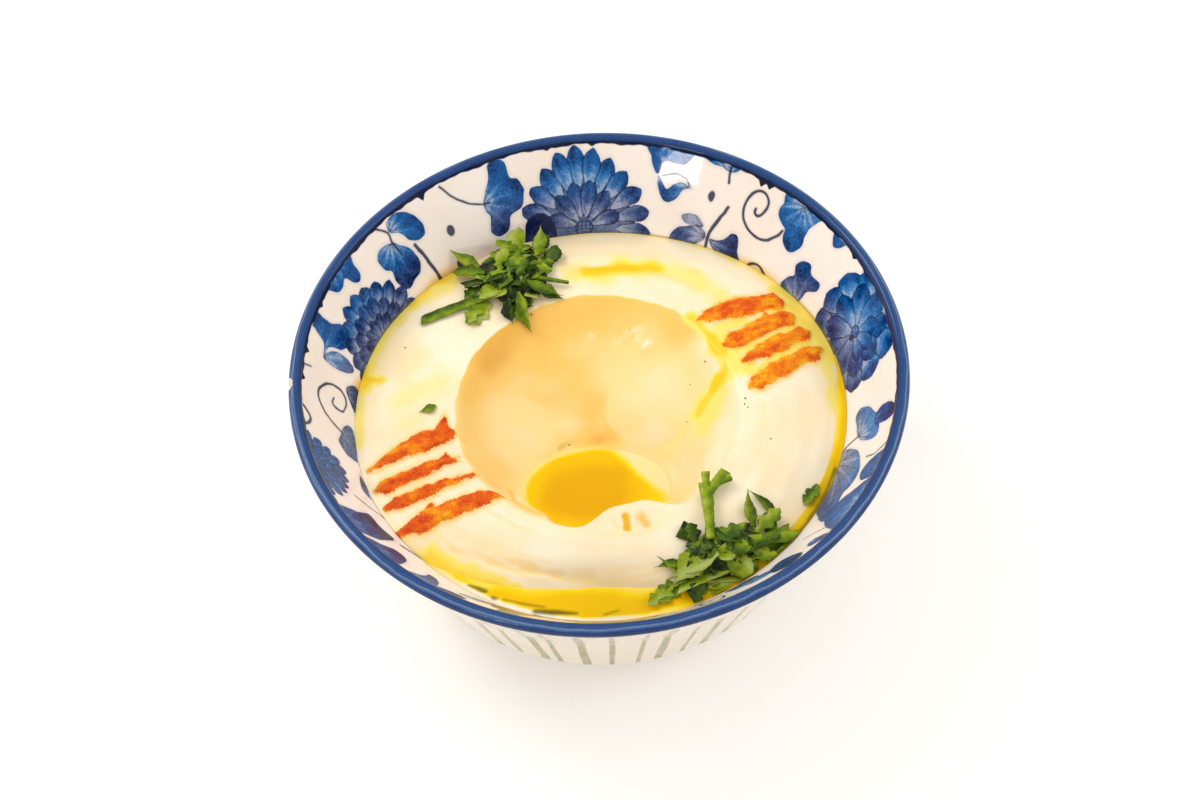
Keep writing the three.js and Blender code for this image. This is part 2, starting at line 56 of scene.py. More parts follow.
WELL_X, WELL_Y, WELL_RADIUS, WELL_SHOULDER = -0.4, -1.5, 38.3, 2.6
# The well's side is steep, and steeper round two headings: heading, spread and how much.
WELL_STEEPNESS, WELL_STEEPER = 1.15, [(165, 50, 0.9), (350, 45, 0.5)]
POOL_X, POOL_Y, POOL_A, POOL_B, POOL_LEVEL, POOL_DEPTH = -1.5, -16.0, 19.4, 13.0, 32.0, 3.2
POOL_GAP = 0.2                      # from the pool's underside to the dip
# Lobes of dip that lean into the well: heading, half spread, reach, and how far their tops sink.
LOBES = [(282, 17, 8.3, 1.6), (237, 9, 4.5, 3.6)]
GROOVE_RADIUS, GROOVE_WIDTH, GROOVE_DEPTH, GROOVE_ANGLE, GROOVE_SPREAD = 48, 2, 0.9, 78, 26
MOAT_ANGLE, MOAT_SPREAD, MOAT_WIDTH, MOAT_SLOPE = 264, 28, 9.4, 0.42
MOAT_TAIL, MOAT_TAIL_RISE, MOAT_TAIL_FALL = 2.7, (250, 300), (356, 376)
# Soft rises and dips on the floor of the well: x, y, radius across, radius deep, height.
SWELLS = [(13.5, 8, 12, 11, 1.8), (-22, 3, 9, 8, 1.6), (-0.5, 5, 3.6, 9, -1.1), (-9.3, 3.3, 3, 3, 0.9),
          (32, -11, 8, 13, 1.6)]
PAPRIKA_RISE, PAPRIKA_FRAY = 0.8, 0.35
# Each band of powder: its two ends in plan, how far its middle bows, and its width.
PAPRIKA_BANDS = [((-61, -17.6), (-39, -7), 0.8, 4.6), ((-59.2, -24.2), (-37.6, -15.2), 0.3, 2.9),
                 ((-56.4, -29.4), (-32.6, -20.6), 0.2, 2.7), ((-53.4, -37), (-24.2, -26.2), 0.6, 4.6),
                 ((27.6, 26), (51, 32.3), 0.6, 4.8), ((34.2, 17), (53.6, 26.9), 0.3, 4.2),
                 ((38.6, 11.1), (57.2, 21.2), 0.3, 3.6), ((39.8, 2.6), (60, 15.2), 0.4, 3.3)]


# ---- small maths ----------------------------------------------------------------------
def bell(x):
    return np.exp(-x * x)


def smooth(x, start, end):
    """A soft step from 0 at start to 1 at end."""
    t = np.clip((x - start) / (end - start), 0, 1)
    return t * t * (3 - 2 * t)


def heading_of(x, y):
    return np.degrees(np.arctan2(y, x)) % 360


def turn_between(angle, heading):
    return (angle - heading + 540) % 360 - 180


def toward(heading, middle, spread, power=1):
    """1 at the middle heading and 0 well away from it; a power of 2 makes its top flat."""
    return bell((turn_between(heading, middle) / spread) ** power)


def patches(x, y, places):
    """Soft patches added up: each has a middle, a radius across, a radius deep and a strength."""
    total = 0
    for at_x, at_y, across, deep, strength in places:
        total = total + strength * bell(np.hypot((x - at_x) / across, (y - at_y) / deep))
    return total


def along_and_across(start, end, x, y):
    """A line's length, and how far points lie along it and to its left."""
    length = math.hypot(end[0] - start[0], end[1] - start[1])
    ux, uy = (end[0] - start[0]) / length, (end[1] - start[1]) / length
    return length, (x - start[0]) * ux + (y - start[1]) * uy, (y - start[1]) * ux - (x - start[0]) * uy


def spline(points, count):
    """Points along a smooth curve through the given ones."""
    p = np.array(points, float)
    last = len(p) - 1
    out = []
    for place in np.linspace(0, last, count + 1):
        k = min(int(place), last - 1)
        w = place - k
        p0, p1, p2, p3 = p[max(k - 1, 0)], p[k], p[k + 1], p[min(k + 2, last)]
        v0, v1 = (p2 - p0) / 2, (p3 - p1) / 2
        cubic, square = 2 * p1 - 2 * p2 + v0 + v1, 3 * p2 - 3 * p1 - 2 * v0 - v1
        out.append(cubic * w ** 3 + square * w ** 2 + v0 * w + p1)
    return np.array(out)


def distance_to(path, x, y):
    """Distance from every point to a path, and whether the point lies inside it, were it closed."""
    best, inside = np.full(np.shape(x), 1e9), np.zeros(np.shape(x), bool)
    for (ax, ay), (bx, by) in zip(path[:-1], path[1:]):
        length = max((bx - ax) ** 2 + (by - ay) ** 2, 1e-12)
        t = np.clip(((x - ax) * (bx - ax) + (y - ay) * (by - ay)) / length, 0, 1)
        best = np.minimum(best, (x - ax - t * (bx - ax)) ** 2 + (y - ay - t * (by - ay)) ** 2)
        rise = by - ay if by != ay else 1e-12
        inside ^= ((ay > y) != (by > y)) & (x < (bx - ax) * (y - ay) / rise + ax)
    return np.sqrt(best), inside


def value_noise(x, y, z, seed):
    """Smooth noise from -1 to 1 on a unit lattice."""
    def corner(ix, iy, iz):
        n = np.sin(ix * 127.1 + iy * 311.7 + iz * 74.7 + seed * 53.3) * 43758.5453
        return n - np.floor(n)
    fx, fy, fz = np.floor(x), np.floor(y), np.floor(z)
    u, v, w = ((c - f) ** 2 * (3 - 2 * (c - f)) for c, f in ((x, fx), (y, fy), (z, fz)))
    total = 0
    for dx, wx in ((0, 1 - u), (1, u)):
        for dy, wy in ((0, 1 - v), (1, v)):
            for dz, wz in ((0, 1 - w), (1, w)):
                total = total + wx * wy * wz * corner(fx + dx, fy + dy, fz + dz)
    return 2 * total - 1


def plan_noise(x, y, size, seed, level=0):
    """Smooth noise over the plan, with features of about the given size."""
    return value_noise(x / size, y / size, level, seed)


# ---- the shape of the bowl and of the dip ---------------------------------------------
LIP_RADIUS = LIP_THICKNESS / 2
LIP_CENTRE = np.array([RIM_RADIUS - LIP_RADIUS, RIM_HEIGHT - 0.4])
INNER_CURVE = spline(INNER_WALL + [(LIP_CENTRE[0] - LIP_RADIUS, LIP_CENTRE[1])], 240)


def wall_radius(z):
    return np.interp(z, INNER_CURVE[:, 1], INNER_CURVE[:, 0])


def edge_height(heading):
    """Height at which the dip or its oil meets the wall."""
    swing = EDGE_SWING * np.cos(2 * np.radians(heading))
    return EDGE_HEIGHT + swing + EDGE_BUMP * toward(heading, EDGE_BUMP_ANGLE, EDGE_BUMP_SPREAD)


def moat_width(heading):
    turn = np.where(heading < 90, heading + 360, heading)
    tail = MOAT_TAIL * smooth(turn, *MOAT_TAIL_RISE) * (1 - smooth(turn, *MOAT_TAIL_FALL))
    return MOAT_WIDTH * bell((turn - MOAT_ANGLE) / MOAT_SPREAD) + tail


def moat_foot(heading):
    """Height at which the bed of the oil beside the wall meets the wall."""
    return edge_height(heading) - MOAT_SLOPE * moat_width(heading)


def lobes_at(heading):
    """How far the lobes reach into the well and how far their tops sink, at a heading."""
    shares = [toward(heading, angle, spread, 2) for angle, spread, _, _ in LOBES]
    reach, sink = (sum(share * lobe[k] for share, lobe in zip(shares, LOBES)) for k in (2, 3))
    return reach, sink


def well_radius(heading):
    return WELL_RADIUS - lobes_at(heading)[0]


def to_well_edge(x, y):
    """Heading of points from the middle of the well, and how far inside its edge they lie."""
    heading = heading_of(x - WELL_X, y - WELL_Y)
    return heading, well_radius(heading) - np.hypot(x - WELL_X, y - WELL_Y)


def pool_share(x, y):
    """Distance from the middle of the pool, as a share of the way to its edge."""
    return np.hypot((x - POOL_X) / POOL_A, (y - POOL_Y) / POOL_B)


def ring_height(x, y):
    """Height of the ring of dip, from the well's edge over its crest down to the wall."""
    heading, r = heading_of(x, y), np.hypot(x, y)
    edge, foot = edge_height(heading), moat_foot(heading)
    shore = wall_radius(edge) - np.maximum(moat_width(heading), 0.01)
    to_foot = np.maximum(wall_radius(foot) - shore, TINY)
    bed = edge - (edge - foot) * np.clip((r - shore) / to_foot, 0, 1)
    u = np.clip((r - WELL_RADIUS) / (shore - WELL_RADIUS), 0, 1)
    beyond = (u - CREST_PLACE) / (1 - CREST_PLACE)
    away = np.where(u > CREST_PLACE, beyond, CREST_INNER_FALL * (1 - u / CREST_PLACE))
    groove = GROOVE_DEPTH * bell((r - GROOVE_RADIUS) / GROOVE_WIDTH)
    groove = groove * toward(heading, GROOVE_ANGLE, GROOVE_SPREAD, 2)
    sink = lobes_at(heading)[1] * smooth(WELL_RADIUS - r, -1, 4)
    return np.where(r > shore, bed, CREST_HEIGHT + (edge - CREST_HEIGHT) * away ** 2 - groove - sink)


def well_drop(x, y):
    """How far the dip has sunk from the ring's height, at the well's edge, to the pool's level."""
    heading, to_edge = to_well_edge(x, y)
    rho = pool_share(x, y)
    to_pool = np.maximum(np.hypot(x - POOL_X, y - POOL_Y) * (1 - 1 / np.maximum(rho, TINY)), 0)
    edge = np.maximum(to_edge, TINY)
    t = to_pool / (to_pool + edge)
    steep = WELL_STEEPNESS + sum(more * toward(heading, at, spread) for at, spread, more in WELL_STEEPER)
    shoulder = (1 - np.exp(-edge / WELL_SHOULDER)) / (1 - np.exp(-(edge + to_pool) / WELL_SHOULDER))
    return np.where(to_edge <= 0, 0, np.where(rho <= 1, 1, (1 - t ** steep) * shoulder))


def pool_bed(rho):
    return POOL_LEVEL - POOL_DEPTH * (1 - rho * rho)


def dip_height(x, y):
    """Height of the dip's surface over any point of the plan, without the powder."""
    ring, drop, rho = ring_height(x, y), well_drop(x, y), pool_share(x, y)
    z = ring + (POOL_LEVEL - ring) * drop
    inside = smooth(drop, 0.15, 0.5) * smooth(rho, 1, 1.25)
    for swell in SWELLS:
        early = smooth(rho, 1, 2.2) if swell[-1] < 0 else 1     # hollows fade out towards the pool
        z = z + inside * early * patches(x, y, [swell])
    return np.where(rho < 1, pool_bed(rho) - POOL_GAP, z)


def band_place(band, x, y):
    """A band's length, and how far points lie along it and across from its bowed middle."""
    start, end, bow, _ = band
    length, along, across = along_and_across(start, end, x, y)
    return length, along, across - bow * np.sin(math.pi * np.clip(along / length, 0, 1))


def paprika_reach(x, y):
    """Distance inside the nearest of the solids' bands of powder, negative outside it."""
    reach = np.full(np.shape(x), -FAR)
    for number, band in enumerate(PAPRIKA_BANDS):
        length, along, across = band_place(band, x, y)
        fray = PAPRIKA_FRAY * (np.sin(2.3 * along + number) + 0.6 * np.sin(5.1 * along + 2.1 * number))
        inside = np.minimum(band[3] / 2 - np.abs(across), np.minimum(along, length - along))
        reach = np.maximum(reach, inside + fray)
    return reach


# ---- meshes ---------------------------------------------------------------------------
def add_object(name, data):
    thing = bpy.data.objects.new(name, data)
    bpy.context.scene.collection.objects.link(thing)
    return thing


def make_piece(name, points, faces, material, node=None, values=None, smooth_faces=True):
    """A mesh in the frame, riding on the one body. values are numbers kept at its points."""
    mesh = bpy.data.meshes.new(name)
    points, faces = np.asarray(points, np.float64) * MM, np.asarray(faces, np.int32)
    mesh.vertices.add(len(points))
    mesh.vertices.foreach_set("co", points.astype(np.float32).ravel())
    size = faces.shape[1]
    mesh.loops.add(faces.size)
    mesh.loops.foreach_set("vertex_index", faces.ravel())
    mesh.polygons.add(len(faces))
    mesh.polygons.foreach_set("loop_start", np.arange(0, faces.size, size, dtype=np.int32))
    mesh.update(calc_edges=True)
    mesh.polygons.foreach_set("use_smooth", np.full(len(faces), smooth_faces))
    for key, array in (values or {}).items():
        field = mesh.attributes.new(key, "FLOAT", "POINT")
        field.data.foreach_set("value", np.asarray(array, np.float32).ravel())
    mesh.materials.append(material)
    piece = add_object(name, mesh)
    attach(piece, "root")
    if node:
        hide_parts(node)
    return piece


def triangles(*corners):
    return np.stack(np.broadcast_arrays(*corners), -1).reshape(-1, 3)


def grid_faces(rows, columns, offset=0, closed=True):
    """Triangles between rows of points, each row closed on itself or open, seen from above or inside."""
    k, i = np.meshgrid(np.arange(rows - 1), np.arange(columns if closed else columns - 1), indexing="ij")
    a, b = offset + k * columns + i, offset + k * columns + (i + 1) % columns
    return np.concatenate([triangles(a, a + columns, b), triangles(b, a + columns, b + columns)])


def capped_rings(first, rings, last):
    """A closed body: one point, rings of points, one point."""
    rings = np.asarray(rings, float)
    rows, columns = rings.shape[:2]
    points = np.concatenate([[first], rings.reshape(-1, 3), [last]])
    i = np.arange(columns)
    j = (i + 1) % columns
    end = 1 + (rows - 1) * columns
    caps = triangles(0, 1 + i, 1 + j), triangles(len(points) - 1, end + j, end + i)
    return points, np.concatenate([caps[0], grid_faces(rows, columns, 1), caps[1]])


def round_section(radius, turn, z):
    """A ring of points round the bowl's axis."""
    return np.stack(np.broadcast_arrays(radius * np.cos(turn), radius * np.sin(turn), z), -1)


def column_headings(columns):
    return np.arange(columns) * 360 / columns


# ---- materials ------------------------------------------------------------------------
PAINT_EDGE = 0.13                   # half the width over which a painted edge fades


def rgb(red, green, blue):
    """A colour given as 0 to 255 on a screen, as the shaders want it."""
    def linear(c):
        c = c / 255
        return c / 12.92 if c <= 0.04045 else ((c + 0.055) / 1.055) ** 2.4
    return (linear(red), linear(green), linear(blue), 1.0)


class Shader:
    """A material's node tree, with short ways to add and join nodes."""

    def __init__(self, name):
        self.material = bpy.data.materials.new(name)
        self.material.use_nodes = True
        self.tree = self.material.node_tree
        self.tree.nodes.clear()
        self.out = self.tree.nodes.new("ShaderNodeOutputMaterial")
        self.principled = self.add("ShaderNodeBsdfPrincipled")
        self.join(self.principled.outputs["BSDF"], self.out.inputs["Surface"])

    def add(self, kind, **settings):
        node = self.tree.nodes.new(kind)
        for key, value in settings.items():
            setattr(node, key, value)
        return node

    def join(self, source, target):
        if isinstance(source, (int, float, tuple)):
            target.default_value = source
        else:
            self.tree.links.new(source, target)

    def set(self, **sockets):
        for key, value in sockets.items():
            self.join(value, self.principled.inputs[key.replace("_", " ")])

    def value(self, name):
        return self.add("ShaderNodeAttribute", attribute_name=name).outputs["Fac"]

    def maths(self, operation, a, b=0.0):
        node = self.add("ShaderNodeMath", operation=operation)
        self.join(a, node.inputs[0])
        self.join(b, node.inputs[1])
        return node.outputs[0]

    def plus(self, first, *others):
        for other in others:
            first = self.maths("ADD", first, other)
        return first

    def ramp(self, source, start, end, low=0.0, high=1.0):
        """source taken smoothly from start..end to low..high."""
        node = self.add("ShaderNodeMapRange", interpolation_type="SMOOTHSTEP")
        for number, given in enumerate((source, start, end, low, high)):
            self.join(given, node.inputs[number])
        return node.outputs[0]

    def mix(self, share, a, b, blend="MIX"):
        node = self.add("ShaderNodeMix", data_type="RGBA", blend_type=blend)
        for source, target in zip((share, a, b), (node.inputs[0], node.inputs[6], node.inputs[7])):
            self.join(source, target)
        return node.outputs[2]

    def over(self, below, name, colour, strength=1.0, start=PAINT_EDGE, end=-PAINT_EDGE):
        """A colour laid over another as the distance kept under a name falls from start to end."""
        return self.mix(self.ramp(self.value(name), start, end, 0.0, strength), below, colour)

    def blend(self, source, *stops):
        """A run of colours along source: each stop is (where it is reached, colour)."""
        colour = stops[0][1]
        for (start, _), (end, target) in zip(stops[:-1], stops[1:]):
            colour = self.mix(self.ramp(source, start, end), colour, target)
        return colour

    def noise(self, scale, detail=2.0, roughness=0.5):
        """Noise with features of about 1/scale metres."""
        node = self.add("ShaderNodeTexNoise")
        place = self.add("ShaderNodeTexCoord")
        self.join(place.outputs["Object"], node.inputs["Vector"])
        for key, given in (("Scale", scale), ("Detail", detail), ("Roughness", roughness)):
            node.inputs[key].default_value = given
        return node.outputs["Fac"]

    def mottle(self, scale, detail, low=0.0, high=1.0, start=0.3, end=0.7):
        """Noise whose middle part, start..end, is spread over low..high."""
        return self.ramp(self.noise(scale, detail), start, end, low, high)

    def bump(self, height, distance, strength, after=None):
        node = self.add("ShaderNodeBump")
        node.inputs["Strength"].default_value = strength
        node.inputs["Distance"].default_value = distance
        self.join(height, node.inputs["Height"])
        if after is not None:
            self.join(after, node.inputs["Normal"])
        return node.outputs["Normal"]


def glaze_material():
    """White-cream glaze over a painted blue pattern, whose edges come from distances at the points."""
    s = Shader("glazed_painted_ceramic")
    fine = s.noise(1500, 3, 0.6)
    cream = s.mix(s.mottle(45, 3), rgb(252, 242, 235), rgb(248, 234, 221))
    place = s.value("lip_place")
    # painted shade outside: darkest just under the lip, where it shades the wall, and the whole outside a
    # darker cream than the inside
    cream = s.blend(place, (6.2, cream), (7.0, rgb(206, 192, 158)), (9.5, rgb(230, 213, 192)))
    tone = s.plus(s.value("tone"), s.ramp(fine, 0.2, 0.8, -0.22, 0.22), s.mottle(260, 2, -0.14, 0.14))
    cobalt = s.blend(tone, (0.0, rgb(150, 176, 212)), (0.45, rgb(56, 122, 186)), (0.8, rgb(8, 84, 154)),
                     (1.15, rgb(0, 42, 96)))
    # violet-grey blue, laid in where the violet values paint shade
    violet = s.blend(tone, (0.0, rgb(158, 164, 190)), (0.45, rgb(92, 108, 152)), (0.9, rgb(44, 62, 116)),
                     (1.15, rgb(14, 28, 72)))
    wash = s.over(s.mix(s.value("violet"), cobalt, violet), "line", rgb(0, 18, 58), 0.85)
    # each kind of paint first bleeds a little into the glaze
    paint = s.over(cream, "ink", rgb(104, 132, 196), 0.2, 1.3, 0.0)
    paint = s.over(paint, "ink", wash)
    paint = s.over(paint, "tendril", rgb(96, 120, 186), 0.2, 0.7, 0.0)
    paint = s.over(paint, "tendril", rgb(34, 42, 66), 0.93)
    paint = s.mix(s.value("stain"), paint, rgb(240, 198, 84), "MULTIPLY")
    paint = s.mix(s.value("shade"), paint, rgb(112, 104, 48))
    band = s.plus(place, s.mottle(90, 2, -0.35, 0.35, 0.2, 0.8))
    # the lip's blue, paler near its outer crest, partly where the glaze thins and partly as a painted
    # highlight
    lip = s.blend(band, (0.4, rgb(4, 18, 56)), (1.6, rgb(36, 70, 124)), (2.9, rgb(48, 82, 136)),
                  (3.5, rgb(104, 130, 168)), (4.1, rgb(38, 68, 122)), (6.0, rgb(2, 22, 62)))
    streak = s.maths("SINE", s.maths("MULTIPLY", band, 9.0))
    lip = s.mix(s.ramp(streak, 0.0, 1.0, 0.0, 0.4), lip, rgb(8, 30, 80))
    lip = s.mix(s.ramp(fine, 0.35, 0.75, 0.0, 0.25), lip, rgb(12, 30, 78))
    paint = s.over(paint, "lip", lip, 1.0, 0.18, -0.18)
    olive = s.mix(s.mottle(240, 2), rgb(122, 120, 44), rgb(156, 148, 74))
    paint = s.over(paint, "stripe", olive, 0.95, 0.25, -0.25)
    clay = s.mix(s.mottle(700, 3), rgb(232, 222, 206), rgb(204, 188, 164))
    roughness = s.ramp(s.value("bare"), 0.4, 0.6, 0.07, 0.8)
    roughness = s.maths("MAXIMUM", roughness, s.maths("MULTIPLY", s.value("dull"), 0.4))
    s.set(Base_Color=s.mix(s.ramp(s.value("bare"), 0.4, 0.6), paint, clay), Roughness=roughness)
    s.set(Normal=s.bump(s.noise(110, 2), 0.0012, 0.1), Specular_IOR_Level=0.22)
    return s.material


def dip_material():
    """Smooth dip, golden down in the well where shade is painted, tinted where oil lies on it, with bands
    of orange-red powder.
    """
    s = Shader("hummus")
    pale = s.mix(s.mottle(40, 3, 0.0, 1.0, 0.35, 0.65), rgb(254, 240, 210), rgb(253, 230, 188))
    # golden, mostly as painted shade down in the well and in its creases
    gold_and_shade = s.plus(s.value("gold_and_shade"), s.mottle(60, 3, -0.07, 0.07))
    flesh = s.blend(gold_and_shade, (0.0, pale), (0.4, rgb(253, 221, 150)), (0.75, rgb(250, 202, 104)),
                    (1.1, rgb(234, 176, 70)))
    colour = s.blend(s.value("oiled"), (0.0, flesh), (0.5, rgb(252, 228, 108)), (1.0, rgb(250, 206, 12)))
    # amber painted shade in the small pits
    colour = s.mix(s.value("pit_shade"), colour, rgb(240, 180, 0))
    colour = s.mix(s.value("dusk"), colour, rgb(188, 156, 40))
    fine, coarse = s.noise(1700, 3, 0.65), s.noise(330, 3, 0.6)
    uneven = s.plus(s.ramp(coarse, 0.3, 0.7, -0.2, 0.2), s.ramp(fine, 0.25, 0.75, -0.14, 0.14))
    heat = s.plus(s.value("redness"), uneven)
    powder = s.blend(heat, (-0.1, rgb(248, 174, 10)), (0.15, rgb(243, 132, 0)), (0.45, rgb(226, 90, 0)),
                     (0.8, rgb(196, 48, 0)), (1.15, rgb(134, 20, 0)))
    cover = s.ramp(s.plus(s.value("powder"), s.ramp(fine, 0.2, 0.8, -0.35, 0.35)), -0.2, 0.35)
    # the powder's oil stains the dip round each band
    colour = s.over(colour, "powder", rgb(252, 202, 70), 0.62, -1.9, 0.1)
    s.set(Base_Color=s.mix(cover, colour, powder), Roughness=s.ramp(cover, 0.0, 1.0, 0.36, 0.8))
    grain = s.bump(s.maths("MULTIPLY", fine, cover), 0.0004, 0.3)
    s.set(Normal=s.bump(s.noise(230, 2), 0.0006, 0.08, after=grain), Specular_IOR_Level=0.24)
    s.set(Subsurface_Weight=0.08, Subsurface_Scale=0.001, Subsurface_Radius=(1.0, 0.6, 0.3))
    s.set(Coat_Weight=0.08, Coat_Roughness=0.15)
    return s.material


def oil_material():
    """Olive oil: pale where it thins out at its edge and along the pool's rim where a highlight is painted,
    amber where it is deep.
    """
    s = Shader("olive_oil")
    depth = s.plus(s.value("depth"), s.mottle(120, 2, -0.08, 0.08))
    deep = s.blend(depth, (-2.6, rgb(247, 237, 218)), (-1.8, rgb(254, 229, 164)), (-1.0, rgb(252, 222, 90)),
                   (-0.35, rgb(249, 210, 6)), (0.1, rgb(243, 194, 0)), (1.0, rgb(226, 170, 0)))
    deep = s.mix(s.value("mark"), deep, rgb(96, 90, 22))
    s.set(Base_Color=deep, Roughness=0.06, IOR=1.47, Specular_IOR_Level=0.15)
    s.set(Normal=s.bump(s.noise(90, 1), 0.0008, 0.06))
    return s.material


def parsley_material():
    """Leaf green that differs from piece to piece, with paler veins and a satin face; each piece's two
    halves are painted lighter and darker as light and shade.
    """
    s = Shader("parsley")
    shade = s.plus(s.value("shade"), s.mottle(420, 3, -0.12, 0.12))
    leaf = s.blend(shade, (0.0, rgb(20, 36, 0)), (0.3, rgb(56, 82, 0)), (0.55, rgb(96, 124, 2)),
                   (0.8, rgb(142, 160, 14)), (1.0, rgb(168, 180, 92)))
    leaf = s.over(leaf, "vein", rgb(160, 180, 76), 0.3, 0.18, 0.0)
    s.set(Base_Color=leaf, Roughness=0.5, Specular_IOR_Level=0.22)
    s.set(Subsurface_Weight=0.1, Subsurface_Scale=0.001, Normal=s.bump(s.noise(900, 2), 0.0004, 0.4))
    return s.material


def grain_material():
    """Orange to red grains of powder, and olive flecks of herb."""
    s = Shader("paprika_grains")
    tint = s.value("tint")
    tint = s.blend(tint, (0.0, rgb(248, 128, 14)), (1.0, rgb(200, 46, 0)), (1.8, rgb(110, 96, 30)))
    s.set(Base_Color=tint, Roughness=s.mottle(2000, 2, 0.65, 0.85))
    return s.material


def plain_material(name, colour, roughness, glow=0.0):
    s = Shader(name)
    tint = s.mix(s.mottle(3, 2), colour, tuple(0.985 * c for c in colour[:3]) + (1.0,))
    s.set(Base_Color=tint, Roughness=roughness)
    if glow:
        s.set(Emission_Color=colour, Emission_Strength=glow)
    return s.material


# ---- the painted pattern --------------------------------------------------------------
# Outlines are (heading, depth) points, in degrees and in millimetres down from the rim.
SLOPE = 1.155                       # length along the wall for each millimetre of depth
BRUSH_WAVER = 0.2                   # how far a painted edge strays
WAVER_SIZE = 1.3
WIDEST = 0.62                       # where along a petal it is widest
PETAL_TIP = 0.8                     # 1 for a pointed tip, 0.5 for a round one
LEAF_REACH, FLOWER_REACH, DOT_REACH = 16, 26, 6     # how far each may spread, in degrees


class Brush:
    """Paints petals, leaves, lines and dots into distances kept at the points of the inner wall."""

    def __init__(self, heading, depth, radius):
        self.heading, self.depth, self.radius = heading, depth, radius
        shape = (len(heading), len(depth))
        self.ink, self.line, self.tendril = (np.full(shape, FAR) for _ in range(3))
        self.tone = np.full(shape, 0.5)
        turn = np.radians(heading)[:, None]
        spots = (40 * np.cos(turn) + 0 * depth, 40 * np.sin(turn) + 0 * depth, depth + 0 * turn)
        spots = [c / WAVER_SIZE for c in spots]
        self.waver = [BRUSH_WAVER * value_noise(*spots, seed) for seed in (11, 12)]

    def around(self, at, reach):
        """Columns near a heading, with the points' places in millimetres along and down the wall."""
        columns = np.abs(turn_between(self.heading, at)) < reach
        x = turn_between(self.heading[columns], at)[:, None] * math.pi / 180 * self.radius[None, :]
        return columns, x + self.waver[0][columns], self.depth[None, :] * SLOPE + self.waver[1][columns]

    def place(self, at, origin):
        radius = np.interp(at[1], self.depth, self.radius)
        return np.array([turn_between(at[0], origin) * math.pi / 180 * radius, at[1] * SLOPE])

    def cover(self, columns, d, tone, lines=FAR, outline=0.2):
        """Lay a shape over what is painted there: d is the distance outside it."""
        edge, inside = np.abs(d) - outline, d < 0
        self.ink[columns] = np.minimum(self.ink[columns], d)
        self.line[columns] = np.where(inside, np.minimum(edge, lines), np.minimum(self.line[columns], edge))
        self.tone[columns] = np.where(inside, tone, self.tone[columns])

    def petal(self, columns, x, y, start, end, half, tones):
        """A petal between two places in millimetres."""
        length, along, v = along_and_across(start, end, x, y)
        p = along / length
        outer = np.clip((p - WIDEST) / (1 - WIDEST), 0, 1)
        wide = half * np.clip(p / WIDEST, 0.001, 1) ** 0.55 * (1 - outer ** 2.2) ** PETAL_TIP
        lean = half / length * (0.9 * (p < WIDEST) + 5 * PETAL_TIP * outer ** 1.2)
        d = (np.abs(v) - wide) / np.sqrt(1 + lean ** 2)
        d = np.where(p > 1, np.hypot((p - 1) * length, v), np.where(p < 0, np.hypot(p * length, v), d))
        tone = tones[0] + (tones[1] - tones[0]) * smooth(p, 0.1, 0.85) + 0.1 * np.sin(v * 6 / half)
        self.cover(columns, d, tone)

    def flower(self, centre, layers, disc, tones=(0.05, 0.95)):
        """Rows of petals round a centre, the outer rows first.

        layers are (inner radius, outer radius, upright stretch, petals, first and last heading).
        """
        columns, x, y = self.around(centre[0], FLOWER_REACH)
        middle = self.place(centre, centre[0])
        for number, (inner, outer, squash, petals, start, end) in enumerate(layers):
            step = math.radians(end - start) / petals
            half = 0.6 * abs(step) * (inner + WIDEST * (outer - inner))
            low = tones[0] + 0.1 * number
            d = np.hypot(x - middle[0], (y - middle[1]) / squash) - (inner + 0.55 * (outer - inner))
            self.ink[columns] = np.minimum(self.ink[columns], d)
            for k in [*range(0, petals, 2), *range(1, petals, 2)]:
                turn = math.radians(start) + step * (k + 0.5)
                aim = np.array([math.cos(turn), -math.sin(turn) * squash])
                reach = outer * (1 + 0.03 * math.sin(5 * k + number))
                self.petal(columns, x, y, middle + aim * inner, middle + aim * reach, half, (low, tones[1]))
        if disc:
            d = np.hypot(x - middle[0], y - middle[1]) - disc
            seeds = 0.3 - 0.5 * np.abs(np.sin(x * 2.8) * np.sin(y * 2.8))
            self.cover(columns, d, 0.45, seeds)

    def leaf(self, outline, base, tones=(0.35, 0.95), fans=6):
        """A leaf inside a closed smooth outline, with pale and dark streaks that fan out from its base."""
        columns, x, y = self.around(outline[0][0], LEAF_REACH)
        corners = [self.place(p, outline[0][0]) for p in outline]
        path = spline([corners[-1]] + corners + corners[:2], 6 * (len(corners) + 2))[6:-6]
        bx, by = self.place(base, outline[0][0])
        size = max(np.hypot(px - bx, py - by) for px, py in path)
        d, inside = distance_to(path, x, y)
        away, turn = np.hypot(x - bx, y - by), np.arctan2(y - by, x - bx)
        ray = np.abs(np.sin(turn * fans)) * away / fans
        between = np.abs(np.cos(turn * fans)) * away / fans
        share = away / size
        tone = tones[0] + (tones[1] - tones[0]) * smooth(share, 0.05, 0.8)
        tone = tone - 0.3 * bell(ray / 0.3) * smooth(share, 0.9, 0.4)
        lines = between - 0.12 + 0.4 * smooth(share, 0.5, 0.75)
        self.cover(columns, np.where(inside, -d, d), tone, lines, 0.16)

    def tendril_line(self, points, width=0.7):
        """A thin drawn line through the points."""
        columns, x, y = self.around(points[0][0], FLOWER_REACH)
        path = spline([self.place(p, points[0][0]) for p in points], 6 * (len(points) - 1))
        self.tendril[columns] = np.minimum(self.tendril[columns], distance_to(path, x, y)[0] - width / 2)

    def dot(self, at, wide, tall):
        columns, x, y = self.around(at[0], DOT_REACH)
        cx, cy = self.place(at, at[0])
        d = (np.hypot((x - cx) / wide, (y - cy) / tall) - 1) * min(wide, tall)
        self.tendril[columns] = np.minimum(self.tendril[columns], d)


